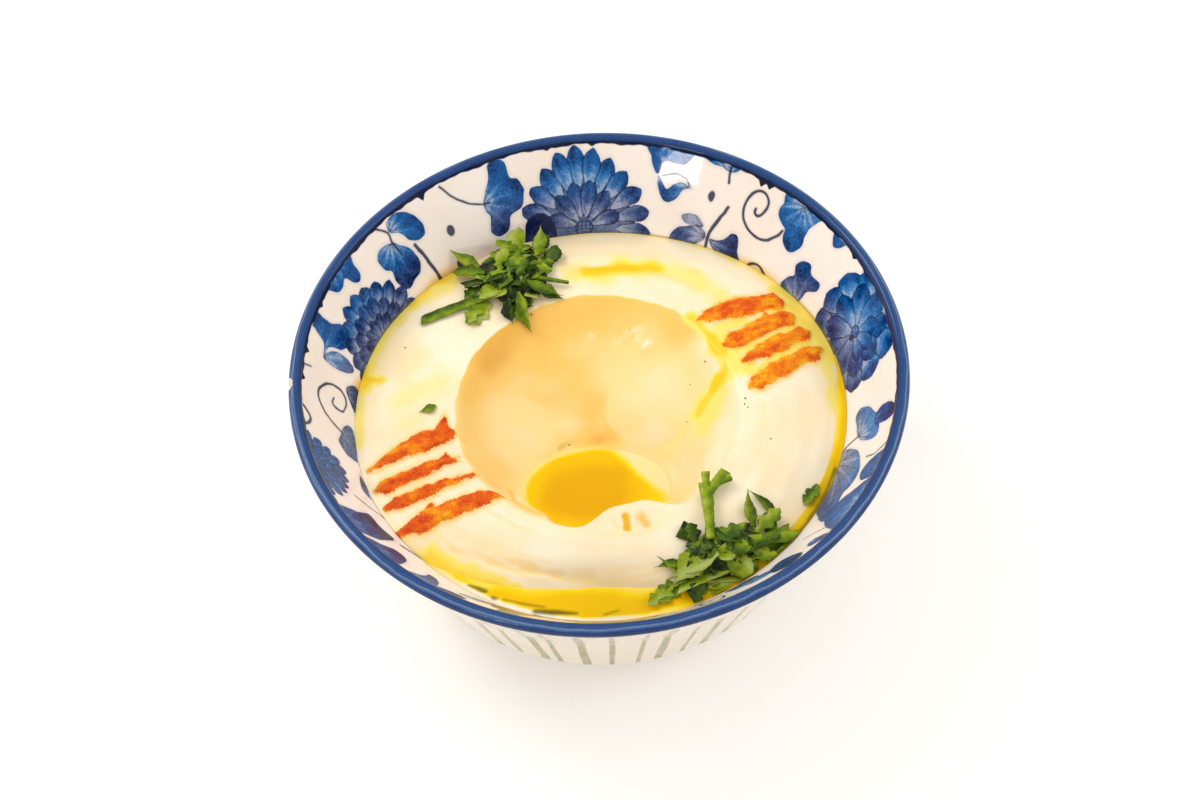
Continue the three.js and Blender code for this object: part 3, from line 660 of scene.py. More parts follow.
FAN_LEAF = [(115, 9.4), (112.5, 4.4), (111.7, 1), (110.1, 0.2), (108, 1.4), (107.6, 5.3), (106, 6.2),
            (105.1, 9.2), (106.4, 13.2), (109.4, 14.4), (110.4, 17.6), (113.2, 18.9), (115.1, 16.6),
            (114.3, 13)]
ROUND_LEAF = [(137.8, 3.1), (136.8, 0.9), (134.2, 0.6), (131.3, 2.7), (129.9, 6.3), (130.4, 8.8),
              (132.4, 9.4), (134.5, 7.8), (135.8, 4.9)]
LOBED_LEAF = [(138.5, 5.5), (142, 5), (143.7, 6.6), (143.4, 9.6), (142.1, 11), (142.7, 13.4), (142, 16.2),
              (140.4, 17.6), (138, 16.8), (135.7, 16), (134.6, 12.9), (135.5, 9.4), (137.3, 7.3)]
TENDRIL = [(50.9, 7.2), (50.8, 8.3), (49.8, 8.6), (48.7, 7), (48.4, 4.8), (49.6, 3), (51.5, 2.9),
           (53, 4.8), (53.7, 7.9), (52.8, 11), (50.7, 13), (48, 13.7), (45.6, 12.8), (43.5, 10.4),
           (42.8, 8.5)]
GREY_TONES, DARK_TONES = (0.05, 0.5), (0.9, 1.25)


def turned(outline, by):
    return [(heading + by, depth) for heading, depth in outline]


def paint_pattern(heading, depth, radius):
    b = Brush(heading, depth, radius)
    paint_right(b)
    paint_back(b)
    paint_left(b)
    paint_front(b)
    return b


def paint_right(b):
    # full-blown flower, and the fan of three lobes above the dip
    b.flower((11.7, 10.5), [(8.5, 16.5, 1.1, 12, 8, 368), (1.2, 12, 1.15, 9, 22, 382),
            (1.2, 8.2, 1.1, 3, 96, 216)], 1.5)
    b.dot((11.4, 12.2), 0.9, 0.9)
    b.leaf([(31.3, 21.4), (35.7, 21.6), (37.4, 20), (36.4, 17.2), (35.2, 15.6), (35.9, 13.5),
            (34.7, 11.1), (32.6, 10.4), (31, 12.2), (27.9, 12.1), (27.5, 14.2), (29.6, 16.4), (30.3, 19)],
            (31.3, 21.4), (0.3, 0.95))
    b.leaf([(31.9, -1.5), (31, 2.2), (29.8, 3), (28.2, 1.4), (27.4, -1.5)], (29.6, -2))
    # large leaf that hangs from the rim, with its curled tendril
    b.leaf([(45, -1.5), (45.4, 2.6), (45.6, 5.2), (43.9, 7), (42.5, 7.9), (41.9, 10.5), (39.7, 12),
            (38.2, 11.3), (37, 8.8), (37.4, 4.6), (36.2, 1.6), (35.6, -1.5)], (40.6, 0.4))
    b.tendril_line(TENDRIL, 0.75)
    # half flower on the rim, blots, stems and the leaves that the dip cuts off
    b.leaf([(65.6, -1.5), (64.4, 0.6), (63, 1.3), (61.1, 1.3), (59.2, 1.9), (57.6, 1.1), (56.8, -1.5)],
            (59.2, 2.4), (0.2, 0.9))
    b.tendril_line([(59.2, 0.2), (58.7, 4.4)])
    b.dot((61.6, 8.9), 1.0, 1.5)
    b.tendril_line([(57.2, 10.1), (58.7, 14), (60.1, 18.2), (60.3, 23)], 0.95)
    b.leaf([(59.7, 19.6), (57.7, 19.1), (55.6, 17.5), (54.4, 15.8), (52.9, 15.7), (52.2, 17.4),
            (51.5, 20.1), (50, 22.8), (54, 24), (58.4, 21.6)], (59.9, 20), (0.5, 1.0))
    b.leaf([(67.7, 15.8), (66.4, 14.8), (64.1, 14.7), (61.9, 16.9), (64.1, 17.6), (66.8, 17.2)],
            (61.9, 17.4), (-0.1, 0.2))
    b.leaf([(69.9, 22.9), (69.5, 20.6), (68, 18.9), (65.8, 18), (63, 17.3), (61.1, 18.4), (61, 20.2),
            (63.3, 22.4), (66.3, 23.8)], (61, 19.4), (0.1, 0.8))
    b.tendril_line([(48.7, 23), (47.5, 20.8), (45.4, 19.8), (43.3, 20.6), (41.2, 22.6)], 0.8)


def paint_back(b):
    # lobe under the rim, and the comma leaf with its arc
    b.leaf([(77.2, -1.5), (76.5, 2.8), (75.7, 5.5), (74.5, 6.6), (74, 4.3), (73, 3.4), (70.9, 3.6),
            (68.4, 2.7), (67.6, -1.5)], (72.6, -2.2), (0.6, 0.9))
    b.leaf([(74.4, 6.9), (74.3, 9.8), (73.1, 12.4), (71.3, 13.3), (69.6, 11.8), (68.6, 9.6), (67, 8.6),
            (67, 8.6), (68.6, 7.8), (70.9, 8.5), (72.4, 10)], (67.4, 8.4), (0.2, 0.9), 4)
    b.tendril_line([(73.6, 6.9), (70.6, 5.9), (68.2, 6.5), (67.1, 8.4)], 0.5)
    # half flower that stands on the dip, with its dotted disc
    b.flower((91.9, 21.5), [(9, 18.9, 1.26, 11, 14, 190), (2.2, 10.4, 1.42, 6, 2, 178)], 2.4)
    # fan leaf on its stem, and the buds behind the heap of parsley
    b.leaf(FAN_LEAF, (115.1, 9.3))
    b.tendril_line([(122.9, 1), (120.9, 5), (118.4, 7.6), (115.1, 9.3), (113.6, 9.5)], 0.6)
    b.dot((124.4, 11.8), 1.1, 1.7)
    b.leaf([(107, 20.5), (105.8, 17), (103.4, 15.8), (101.2, 16.4), (99.7, 19), (99.6, 24), (107, 24.6)],
            (103, 26), DARK_TONES)
    b.dot((124.4, 21), 2.0, 2.4)
    # the pair of leaves and the two stems
    b.leaf(ROUND_LEAF, (137.8, 3.1))
    b.leaf(LOBED_LEAF, (138.5, 5.5), (0.4, 1.05))
    b.tendril_line([(141.6, -0.6), (139.8, 0.8), (138.1, 3.1), (138.3, 5.8), (137.9, 9.6)], 0.6)
    b.tendril_line([(134, 9.7), (133.1, 13.3), (132.3, 17.8), (131.6, 23)], 1.0)


def paint_left(b):
    # petals under the rim, and the half flower that leans on the dip
    b.leaf([(148, -1.5), (148.8, 1.8), (149.1, 5), (150.4, 6.2), (151.9, 4.8), (152.7, 2.6), (154.8, 3.6),
            (156.6, 2.6), (157.6, -1.5)], (153, -2.4))
    b.flower((155, 22), [(9, 16.4, 1.12, 11, 0, 184), (4.8, 12, 1.15, 9, -6, 190),
            (1.4, 8, 1.1, 7, 0, 180)], 1.4)
    # the fan leaf's two halves
    b.leaf([(171.2, 5.9), (168.3, 4.8), (167.2, 1.6), (166.4, -1.5), (163.6, -1.5), (163.5, 2.6),
            (163.2, 5.2), (161.5, 7.7), (162.1, 10.7), (164.2, 11.9), (166.3, 10.6), (168.3, 6.9)],
            (171.2, 5.9))
    b.leaf([(171.4, 5.8), (168, 9), (167.3, 13.3), (168.3, 16.2), (170.2, 14.6), (171.7, 10.3)],
            (171.4, 5.8), GREY_TONES)
    b.tendril_line([(176.3, 0.2), (175.7, 2.8)], 0.5)
    # curled tendril between two heart-shaped leaves, and an arc on the rim
    b.tendril_line([(179.1, 11), (180.5, 10.5), (181.2, 11.8), (181, 14.1), (178.9, 15.4), (176.6, 14.8),
            (175.8, 12.4), (176.5, 9.2), (178.1, 6.9), (180.4, 5.7), (183, 6.8), (185.4, 9.4),
            (186.9, 13.7)])
    b.leaf([(174.4, 14.8), (172.6, 16), (171.8, 17.8), (172.4, 19.6), (174.6, 19.9), (178.9, 19.1),
            (178.9, 19.1), (176.6, 16.4)], (175, 15.6), (0.7, 1.0), 3)
    b.leaf([(187.8, 13.1), (190, 11.9), (191.9, 13), (193.1, 15.4), (193.1, 18.2), (193.1, 18.2),
            (188.7, 19), (184.4, 18.3), (183.7, 16.3), (185.4, 14.3)], (187.4, 14), (0.4, 0.7), 3)
    b.tendril_line([(185.2, -0.6), (186.8, 1.7), (188.3, 2.7), (190.2, 1.3), (190.6, -0.6)], 0.8)
    # scaly bud that hangs from the rim
    b.flower((200, -2.2), [(6, 10.9, 1.42, 10, -174, -6), (3.2, 8.2, 1.4, 8, -170, -10),
            (0.6, 5.4, 1.4, 6, -174, -6)], 0, (0.5, 0.95))
    b.leaf([(196.8, 17.5), (196.8, 17.5), (200, 18.5), (204.3, 17.8), (204.3, 17.8), (201.5, 15.6)],
            (204, 17.8), DARK_TONES)
    b.tendril_line([(205.5, 10.3), (207.5, 14.3), (209.6, 20)], 0.5)


def paint_front(b):
    # leaves where the wall turns away at the front left
    b.leaf([(211, -1.5), (211.2, 6.3), (210.5, 11.7), (214, 12.6), (217.6, 14.7), (219.3, 9),
            (219.5, 4.4), (217.5, -1.5)], (215, -2), (0.7, 1.15))
    b.leaf([(219.8, -1.5), (221.6, 5), (222.6, 8.6), (224.6, 9.2), (226.8, 6.6), (228.2, -1.5)],
            (224, -2), (0.7, 1.15))
    b.leaf([(230.6, -1), (232.1, 4.7), (231.2, 9.6), (233.6, 9.2), (236, 4), (236.6, -1)], (234, -2),
            (0.55, 1.0))
    b.leaf([(235.6, 0.2), (237.4, 3.2), (240.2, 4.6), (242.6, 3), (241, -1)], (236, -1), DARK_TONES, 3)
    b.leaf([(239.6, 6.6), (242, 10.4), (246, 13.2), (249, 13), (246.6, 8.6), (243, 6.2)], (239.6, 6),
            (0.1, 0.6), 4)
    b.tendril_line([(219.6, 15.4), (221.8, 19.6), (224.4, 24.6)], 1.3)
    # the same motifs again along the front
    b.leaf(turned(FAN_LEAF, 141), (256.1, 9.3))
    b.flower((270.6, 12.4), [(6.5, 13.4, 1.0, 15, 0, 360), (3.2, 9.2, 1.0, 11, 0, 360),
            (1, 5.6, 1.0, 8, 0, 360)], 1.4)
    b.tendril_line(turned(TENDRIL, 239))
    b.leaf(turned(LOBED_LEAF, 160), (298.5, 5.5))
    b.leaf([(302.4, 3.4), (304.4, 0.8), (308.2, 1.4), (309.6, 5), (307.6, 11), (304, 8.6)], (308, 11),
            DARK_TONES)
    b.leaf([(311.4, 3.6), (312.6, 0.8), (315, 0.6), (314.4, 4.4), (312.8, 6)], (314, 6), (0.5, 1.0), 3)
    # greyer flowers and leaves at the front right, where the wall lies in shade
    b.leaf([(333, 7.4), (329.8, 8.3), (328.4, 9.8), (325.4, 9.2), (320.8, 7.2), (320.6, 11), (326, 19.4),
            (330.3, 21.6), (334.1, 22.6), (339, 22.6), (344.2, 20.6), (342.4, 14.8), (339.8, 11),
            (336.4, 8.8)], (341, 21), (0.25, 0.75), 7)
    b.leaf([(336.8, -1.5), (335.1, 4.7), (332.6, 6.2), (330, 4), (330.8, -1.5)], (333.6, -2), (0.6, 0.9),
            3)
    b.leaf([(329.4, -1.5), (327.6, 5.6), (325.2, 9.6), (320.6, 9.4), (317.4, 4.6), (316.6, -1.5)],
            (323, -2), (0.35, 0.85))
    b.tendril_line([(337, 6.9), (336.8, 3.6), (338.8, -0.6)], 0.5)
    b.tendril_line([(318.4, 1.4), (317.6, 5), (315.4, 12.4)], 0.4)
    b.leaf([(344.9, 13.1), (350.8, 15.1), (352.6, 13.4), (351.4, 10), (349, 7.9), (347.6, 6.4), (344, 5),
            (341.7, 5.8), (342.2, 9)], (344.9, 13.1), (0.1, 0.6), 7)
    b.leaf([(347, 7.4), (349, 5.9), (349.2, 3), (347.4, 0.6), (345.2, 0.5), (344.5, 3.1), (345, 5.8)],
            (346.4, 7.4), (0.7, 1.05), 3)
    b.tendril_line([(345.1, 13.1), (344.8, 15.5), (344.3, 18.6)], 0.6)


# ---- the bowl -------------------------------------------------------------------------
BOWL_COLUMNS = 1280
PAINTED_ROWS = 92                   # rows of points down the painted part of the wall
PAINTED_DEPTH = 27.0
LIP_TURN, LIP_ROWS = (170, -24), 18  # the lip's round, from its inside over the top
LIP_TRIM = 0.065                    # keeps the round lip inside the solid's
STRIPES = 60                        # painted stripes outside
# Small blots of blue that run down from the lip: heading and how far.
LIP_BLOTS = [(127.4, 1.3), (98.6, 0.7), (89.2, 0.6), (51.6, 1.5), (49.6, 1.1), (161.6, 0.9), (172.8, 1.2),
             (179.4, 0.9), (24.5, 0.8), (238, 1.0), (262, 0.8), (291, 1.2)]
# Where oil stains the wall above the dip: heading, half spread, height and strength.
OIL_STAINS = [(131, 8, 2.6, 0.9), (171, 3.4, 2.8, 1.0), (45, 10, 2.4, 0.85), (24, 12, 1.4, 0.8),
              (92, 30, 0.9, 0.3), (205, 20, 0.8, 0.4)]
# Where an olive shadow lies on the wall along the dip's edge, in the same way.
EDGE_SHADOWS = [(12, 22, 1.0, 0.8), (332, 20, 1.3, 0.85), (230, 14, 1.2, 0.85), (152, 13, 0.9, 0.8),
                (78, 30, 0.6, 0.6), (262, 20, 0.8, 0.7), (197, 16, 0.7, 0.45)]


def bowl_profile():
    """Inside from the floor up, over the lip, and down the outside to the foot, as five stretches."""
    painted_from = RIM_HEIGHT - PAINTED_DEPTH
    coarse = np.array([p for p in INNER_CURVE[::16] if p[1] < painted_from - 1])
    heights = np.linspace(painted_from, LIP_CENTRE[1], PAINTED_ROWS)
    painted = np.stack([wall_radius(heights), heights], -1)
    turn = np.radians(np.linspace(*LIP_TURN, LIP_ROWS))
    lip = LIP_CENTRE + (LIP_RADIUS - LIP_TRIM) * np.stack([np.cos(turn), np.sin(turn)], -1)
    outside = spline([lip[-1]] + OUTER_WALL + [(FOOT_OUTER + 3.4, 6.2)], 44)
    foot = [(FOOT_OUTER + 1.4, 5.9), (FOOT_OUTER + 0.6, 5.2), (FOOT_OUTER + 0.3, 3.0), (FOOT_OUTER, 0.5),
            (FOOT_OUTER - 0.5, 0.0), (FOOT_INNER + 0.5, 0.0), (FOOT_INNER - 0.1, 0.5),
            (FOOT_INNER - 1.0, FOOT_RECESS - 0.4), (FOOT_INNER - 1.8, FOOT_RECESS)]
    return coarse, painted, lip[1:], outside[1:], np.array(foot)


def wall_marks(marks, heading, above):
    """Strength of stains or shadows by heading and by height above the edge of the dip."""
    total = np.zeros(above.shape)
    for at, spread, height, strength in marks:
        share = strength * toward(heading, at, spread)[None, :]
        total = np.maximum(total, share * smooth(above, height * (0.4 + share), -0.1))
    return total


def stripe_distance(heading, profile):
    """Distance outside the nearest of the thin upright stripes on the outside of the bowl."""
    rng = np.random.default_rng(8)
    z, stripe = profile[:, 1:], np.full((len(profile), len(heading)), FAR)
    middles = np.arange(STRIPES) * 360 / STRIPES + rng.uniform(-1.2, 1.2, STRIPES)
    halves, phases = rng.choice([0.6, 0.7, 0.8, 1.1], STRIPES), rng.uniform(0, 6.3, STRIPES)
    for middle, half, phase in zip(middles, halves, phases):
        off = turn_between(heading, middle)[None, :] * math.pi / 180 * profile[:, :1]
        off = off + 0.15 * np.sin(z * 0.1 + phase)
        wide = half * (1 + 0.08 * np.sin(z * 0.2 + 2 * phase)) * smooth(z, 8.0, 13.0) * smooth(z, 64.5, 62)
        stripe = np.minimum(stripe, np.abs(off) - wide)
    return stripe


def chipped(rings):
    """The small chip in the lip: points near it move onto its ragged hollow."""
    chip = np.radians(CHIP_ANGLE)
    reach = RIM_RADIUS + CHIP_RADIUS * 0.35
    centre = np.array([reach * math.cos(chip), reach * math.sin(chip), RIM_HEIGHT + 0.9])
    off = rings - centre
    distance = np.linalg.norm(off, axis=-1)
    ragged = CHIP_RADIUS * (1 + 0.12 * value_noise(*(rings[..., k] * 1.7 for k in range(3)), 4))
    bare = distance < ragged
    onto = centre + off * (ragged / np.maximum(distance, TINY))[..., None]
    return np.where(bare[..., None], onto, rings), bare


def bowl_paint(profile, heading, painted, outside):
    """All the numbers that the glaze reads, for each ring and column of the bowl."""
    turn, shape = np.radians(heading), (len(profile), len(heading))
    wall, depth = profile[painted], RIM_HEIGHT - profile[:, 1:]
    brush = paint_pattern(heading, depth[painted][::-1, 0], wall[::-1, 0])
    fields = {key: np.full(shape, FAR) for key in ("ink", "line", "tendril", "stripe")}
    fields.update({key: np.zeros(shape) for key in ("tone", "violet", "stain", "shade", "dull")})
    for key in ("ink", "line", "tendril", "tone"):
        fields[key][painted] = getattr(brush, key)[:, ::-1].T
    # painted shade: the blue turns violet-grey lower down, towards the dip, and sooner along the front
    # left, where the wall lies in shade
    front = toward(heading, 250, 62)
    fields["violet"][painted] = smooth(depth[painted], 8 - 4 * front, 17 - 9 * front)
    # the glaze is duller on the front wall, beside the oil
    fields["dull"][painted] = toward(heading, 226, 24, 2) + toward(heading, 318, 27, 2)
    above = wall[:, 1:] - edge_height(heading)
    fields["stain"][painted] = wall_marks(OIL_STAINS, heading, above)
    fields["shade"][painted] = wall_marks(EDGE_SHADOWS, heading, above)
    # the lip's blue runs a little way down both faces, with a brushed edge
    wander = 0.16 * np.sin(turn * 23) + 0.12 * np.sin(turn * 57 + 1) + 0.08 * np.sin(turn * 131)
    blots = sum(size * np.maximum(0, 1 - np.abs(turn_between(heading, at)) / 0.9) for at, size in LIP_BLOTS)
    outer = np.arange(len(profile))[:, None] >= painted.stop + LIP_ROWS // 2 - 1
    fields["lip"] = depth - np.where(outer, 1.9 + wander, 0.5 + wander + blots)
    along = np.concatenate([[0], np.cumsum(np.hypot(*np.diff(profile, axis=0).T))])
    fields["lip_place"] = np.repeat((along - along[painted.stop - 1])[:, None], len(heading), 1)
    fields["stripe"][outside] = stripe_distance(heading, profile[outside])
    fields["bare"] = (profile[:, 1:] < 0.35) & (profile[:, :1] < FOOT_OUTER + 2)
    return fields


def make_bowl():
    stretches = bowl_profile()
    profile = np.concatenate(stretches)
    heading = column_headings(BOWL_COLUMNS)
    rings, chip = chipped(round_section(profile[:, :1], np.radians(heading), profile[:, 1:]))
    points, faces = capped_rings((0, 0, FLOOR_HEIGHT), rings, (0, 0, FOOT_RECESS))
    ends = np.cumsum([len(stretch) for stretch in stretches])
    fields = bowl_paint(profile, heading, slice(ends[0], ends[1]), slice(ends[2], ends[3]))
    fields["bare"] = fields["bare"] | chip
    values = {}
    for key, array in fields.items():
        array = np.asarray(array, float)
        values[key] = np.concatenate([[array[0, 0]], array.ravel(), [array[-1, 0]]])
    return make_piece("bowl_glazed", points, faces, glaze_material(), "bowl", values)


# ---- the dip --------------------------------------------------------------------------
DIP_COLUMNS = 720
DIP_FLOOR_RADIUS = 25
POOL_RINGS, WELL_RINGS = 6, 60      # rings of points under the pool, and from there to the well's edge
# Small pits in the lobe of dip over the pool: ends in plan, half width, depth and how brown their painted
# shade is.
PITS = [((5.0, -34.4), (5.4, -39.2), 0.8, 0.5, 1.7), ((9.2, -35.2), (10.4, -38.2), 1.3, 0.4, 0.8),
        ((2.0, -35.6), (3.0, -38.6), 0.6, 0.2, 0.22), ((7.2, -33.6), (7.4, -38), 0.5, -0.3, 0.0),
        ((12.6, -34.6), (12.4, -37.4), 0.9, -0.25, 0.0)]
# How each band of powder narrows towards its two ends, as shares of its length.
POWDER_TAPERS = [(0.55, 0.04), (0.1, 0.4), (0.12, 0.5), (0.25, 0.35), (0.3, 0.05), (0.15, 0.08),
                 (0.3, 0.06), (0.1, 0.1)]
POWDER_SPILL = (0.5, 0.9)           # how far the left and the right bands spill beyond the solids'
# Horns on the bands: root, tip and width at the root.
POWDER_HORNS = [((-41.8, -7.4), (-41.2, -2), 5.4), ((-41, -6.6), (-37.2, -8.6), 3.0),
                ((-40.8, -15.8), (-41, -13.8), 4.4), ((-44.8, -30.6), (-44.4, -28.6), 3.2),
                ((-39.4, -30.4), (-39, -28.6), 3.0), ((46, 27), (45.6, 29.6), 2.4)]
# Redder patches in the powder: middle, radius across, radius deep and strength.
REDDER = [(-41, -5.5, 3.4, 3.4, 0.35), (-51, -34, 3, 3, 0.35)]
# Painted light and shade in the well, in the same way: paler patches (below 0) on rises, more golden ones
# in hollows.
WELL_PATCHES = [(-9.3, 3.3, 2.6, 2.6, -0.16), (30, -11, 10, 15, -0.22), (-0.5, 5, 5, 10, 0.26),
                (-1.5, 0.2, 7, 2.6, 0.3)]
# In the lists of lines below, each line is its points in plan, its half width and its strength.
# Olive-brown shadow in the fold behind the pool.
DUSK = [([(-11.6, -2.2), (-9.6, -1.1), (-7.6, -0.6)], 0.5, 0.5)]
# Painted highlights: pale glinting patches on the back of the well.
GLINTS = [([(6.4, 25.4), (9, 26.2), (12, 25.4), (14, 23)], 1.2, 0.45),
          ([(9, 24.6), (12.6, 23.6)], 0.9, 0.45), ([(-2.2, 27.2), (-1, 26.6)], 0.6, 0.45)]
# Soft creases in the ring, painted golden as their shade; the last two edge the ledge by the pool, its
# shaded slope and, below 0, its painted highlight.
CREASES = [([(-39, -42.4), (-32, -45.2), (-25, -46.8), (-19, -48.6)], 1.0, 0.14),
           ([(-30, -46.4), (-22, -48.8), (-12, -50)], 0.8, 0.1), ([(-14, -50.6), (-4, -51.4)], 1.2, 0.1),
           ([(-24.8, -17), (-22.8, -22.4), (-20, -25.2), (-16.4, -24.8)], 0.7, 0.34),
           ([(-23, -18.6), (-20.6, -22), (-16.8, -22.8)], 1.2, -0.3)]
# Oil that lies on the dip.
OIL_STREAKS = [
    ([(-6, 44), (4, 45.4), (12, 46), (20, 45)], 4.2, 0.38),
    ([(-2, 44.8), (7, 45.9), (14, 46.1), (18, 45.3)], 2.5, 1.0),
    ([(16, 45.6), (23, 43.6), (30, 39), (35, 32)], 3.6, 0.36),
    ([(25.6, 27), (29.6, 21.8), (32.8, 16.6), (34, 11.6), (32.4, 8), (29, 5), (26, 1.4)], 1.8, 0.85),
    ([(27.6, 24.6), (30.6, 20), (33, 15)], 1.6, 1.0), ([(32, 8.6), (30, 6.2)], 1.6, 1.0),
    ([(33, 20), (35.4, 14), (35, 10)], 3.4, 0.5), ([(31, 5), (27, -3)], 3.4, 0.36),
    ([(24, 0.6), (20, -3.4), (16.2, -6.3)], 1.2, 0.2), ([(34, 14), (40, 9.4)], 2.4, 0.55),
    ([(31, 22.6), (40, 25)], 1.6, 0.45), ([(35.4, 14.6), (44, 19.4)], 1.4, 0.4),
    ([(46, 31), (52, 31.4), (57, 27)], 2.4, 0.75), ([(56, 26), (60.4, 18)], 2.4, 0.7),
    ([(-52, 4.4), (-47, 6.4), (-43, 9.4)], 5.0, 0.26), ([(-51, -2.6), (-46, 2)], 4.2, 0.18),
    ([(-53, 12), (-48, 18)], 4.4, 0.14), ([(-63, 14), (-60, 22), (-55.4, 32), (-48, 41)], 2.4, 0.45),
    ([(-51, 38), (-45.6, 44.4), (-38, 50.6)], 3.0, 0.8), ([(-46, 40), (-40, 45.4)], 3.0, 0.4),
    ([(-66, 13.6), (-59, 11.6)], 1.8, 1.0), ([(-64.4, 16), (-62.6, 10.4)], 3.0, 0.9),
    ([(-64, 14), (-61.6, 19)], 1.5, 0.6), ([(-64.4, 9), (-64, -8)], 2.2, 0.4),
    ([(43, -3), (42.8, -10)], 1.8, 0.14), ([(50, 38), (58, 27), (62.6, 12)], 2.0, 0.7),
    ([(61, 10), (62.6, -4)], 1.8, 0.4), ([(30, 56), (42, 48), (51, 38)], 1.8, 0.4),
    ([(-10, 63), (10, 63), (28, 57)], 1.4, 0.28), ([(-56.6, -14.6), (-47, -10)], 1.6, 0.2),
    ([(40, 15.4), (55, 23.6)], 1.4, 0.5), ([(42, 7.8), (57, 18)], 1.4, 0.5),
    ([(46, 24), (55, 29)], 1.4, 0.6), ([(-45, -43.6), (-37, -49), (-28, -53)], 3.0, 0.85),
    ([(-29, -52.6), (-17, -56.4)], 2.2, 0.8), ([(-20, -14.6), (-15.6, -8)], 2.4, 0.14)]
POOL_FILM = 0.3                     # strength of the film of oil round the pool


def dip_rings(heading):
    """Plan of the dip as rings from the middle of the pool to the wall, close together where it turns."""
    turn = np.radians(heading)
    unit = np.stack([np.cos(turn), np.sin(turn)], -1)
    outer = wall_radius(moat_foot(heading)) - 0.02
    shore = np.minimum(wall_radius(edge_height(heading)) - moat_width(heading), outer - 1.2)
    outer, shore = unit * outer[:, None], unit * shore[:, None]
    well = np.array([WELL_X, WELL_Y]) + unit * well_radius(heading)[:, None]
    middle = np.array([POOL_X, POOL_Y])
    pool = middle + unit * np.array([POOL_A, POOL_B])
    even = np.linspace(0, 1, WELL_RINGS + 1)[:-1]
    stretches = [(middle, pool, np.linspace(0.12, 0.96, POOL_RINGS)), (pool, well, 1 - (1 - even) ** 1.3),
                 (well, shore, even), (shore, outer, np.linspace(0, 1, 9))]
    return np.array([start + (end - start) * t for start, end, places in stretches for t in places])


def near_line(points, half, x, y, waver=0.3):
    """1 on a line, falling softly to 0 a little beyond its half width, with an uneven edge."""
    points = np.array(points, float)
    reach = 2 * (1 + waver) * half + 1
    low, high = points.min(0) - reach, points.max(0) + reach
    share = np.zeros(np.shape(x))
    near = (x > low[0]) & (x < high[0]) & (y > low[1]) & (y < high[1])
    x, y = x[near], y[near]
    uneven = plan_noise(x, y, 4, 9) + 0.4 * plan_noise(x, y, 1.6, 10)
    distance = distance_to(spline(points, 6 * (len(points) - 1)), x, y)[0] + waver * half * uneven
    share[near] = smooth(distance, 1.8 * half, 0.1 * half)
    return share


def lines_drawn(lines, x, y, waver=0.3):
    """The strengths of the lines over points of the plan, one array for each line."""
    return [strength * near_line(points, half, x, y, waver) for points, half, strength in lines]


def spoon_marks(x, y):
    """Faint ridges that the spoon left round the ring and down into the well."""
    heading, r = heading_of(x, y), np.hypot(x, y)
    ring = smooth(r, 40, 44) * smooth(r, 62, 56)
    swirl = np.sin(1.0 * r + np.radians(heading) * 2 + 1.4 * np.sin(np.radians(heading * 3)))
    soft, fine = plan_noise(x, y, 9, 2), plan_noise(x, y, 3.1, 3, level=5)
    crease = sum(0.35 * near_line(points, half, x, y) for points, half, _ in CREASES)
    return ring * 0.13 * swirl * (0.4 + 0.6 * soft) + 0.16 * soft + 0.05 * fine - crease


def powder_reach(x, y):
    """The bands of powder with their ragged outline: distance inside the edge, in millimetres."""
    reach = np.full(np.shape(x), -FAR)
    for number, (band, (first, last)) in enumerate(zip(PAPRIKA_BANDS, POWDER_TAPERS)):
        length, along, across = band_place(band, x, y)
        t = along / length
        narrow = np.clip((t + 0.03) / (first + 0.03), 0, 1) * np.clip((1.03 - t) / (last + 0.03), 0, 1)
        uneven = 1 + 0.16 * value_noise(along / 4, number, 0, 8)
        inside = (band[3] / 2 + POWDER_SPILL[number // 4]) * narrow ** 0.7 * uneven - np.abs(across)
        reach = np.maximum(reach, np.where(narrow > 0, inside, -FAR))
    for root, tip, width in POWDER_HORNS:
        length, along, across = along_and_across(root, tip, x, y)
        horn = 0.5 * width * (1 - along / length) - np.abs(across)
        reach = np.maximum(reach, np.where(along > -1.5, np.minimum(horn, 1.0), -FAR))
    return reach + 0.42 * plan_noise(x, y, 1.7, 6) + 0.15 * plan_noise(x, y, 0.9, 7)


def pit_share(x, y):
    """How deep the small pits are and how brown their painted shade is, over points of the plan."""
    shares = [near_line(ends, half, x, y, 0.35) for *ends, half, _, _ in PITS]
    deep, pit_shade = (sum(share * pit[k] for share, pit in zip(shares, PITS)) for k in (3, 4))
    return deep, pit_shade


def dip_detail_height(x, y):
    """The dip's surface with the powder, the spoon marks and the small pits."""
    away = smooth(pool_share(x, y), 1.0, 1.3)
    z = dip_height(x, y) + (spoon_marks(x, y) - pit_share(x, y)[0]) * away
    reach = powder_reach(x, y)
    grit = 0.07 * plan_noise(x, y, 1.2, 6) * smooth(reach, -0.2, 0.5)
    return z + PAPRIKA_RISE * smooth(reach, -0.8, 1.5) + grit


def dip_underside(heading):
    """Rings down the inside of the wall to the bowl's floor."""
    turn, foot, floor = np.radians(heading), moat_foot(heading), INNER_WALL[0][1] + 0.3
    levels = [floor + (foot - floor) * share for share in (0.97, 0.85, 0.6, 0.35, 0.1, 0.02)]
    rings = [round_section(wall_radius(level) - 0.05, turn, level) for level in levels]
    return rings + [round_section(DIP_FLOOR_RADIUS, turn, FLOOR_HEIGHT + 1.2)]


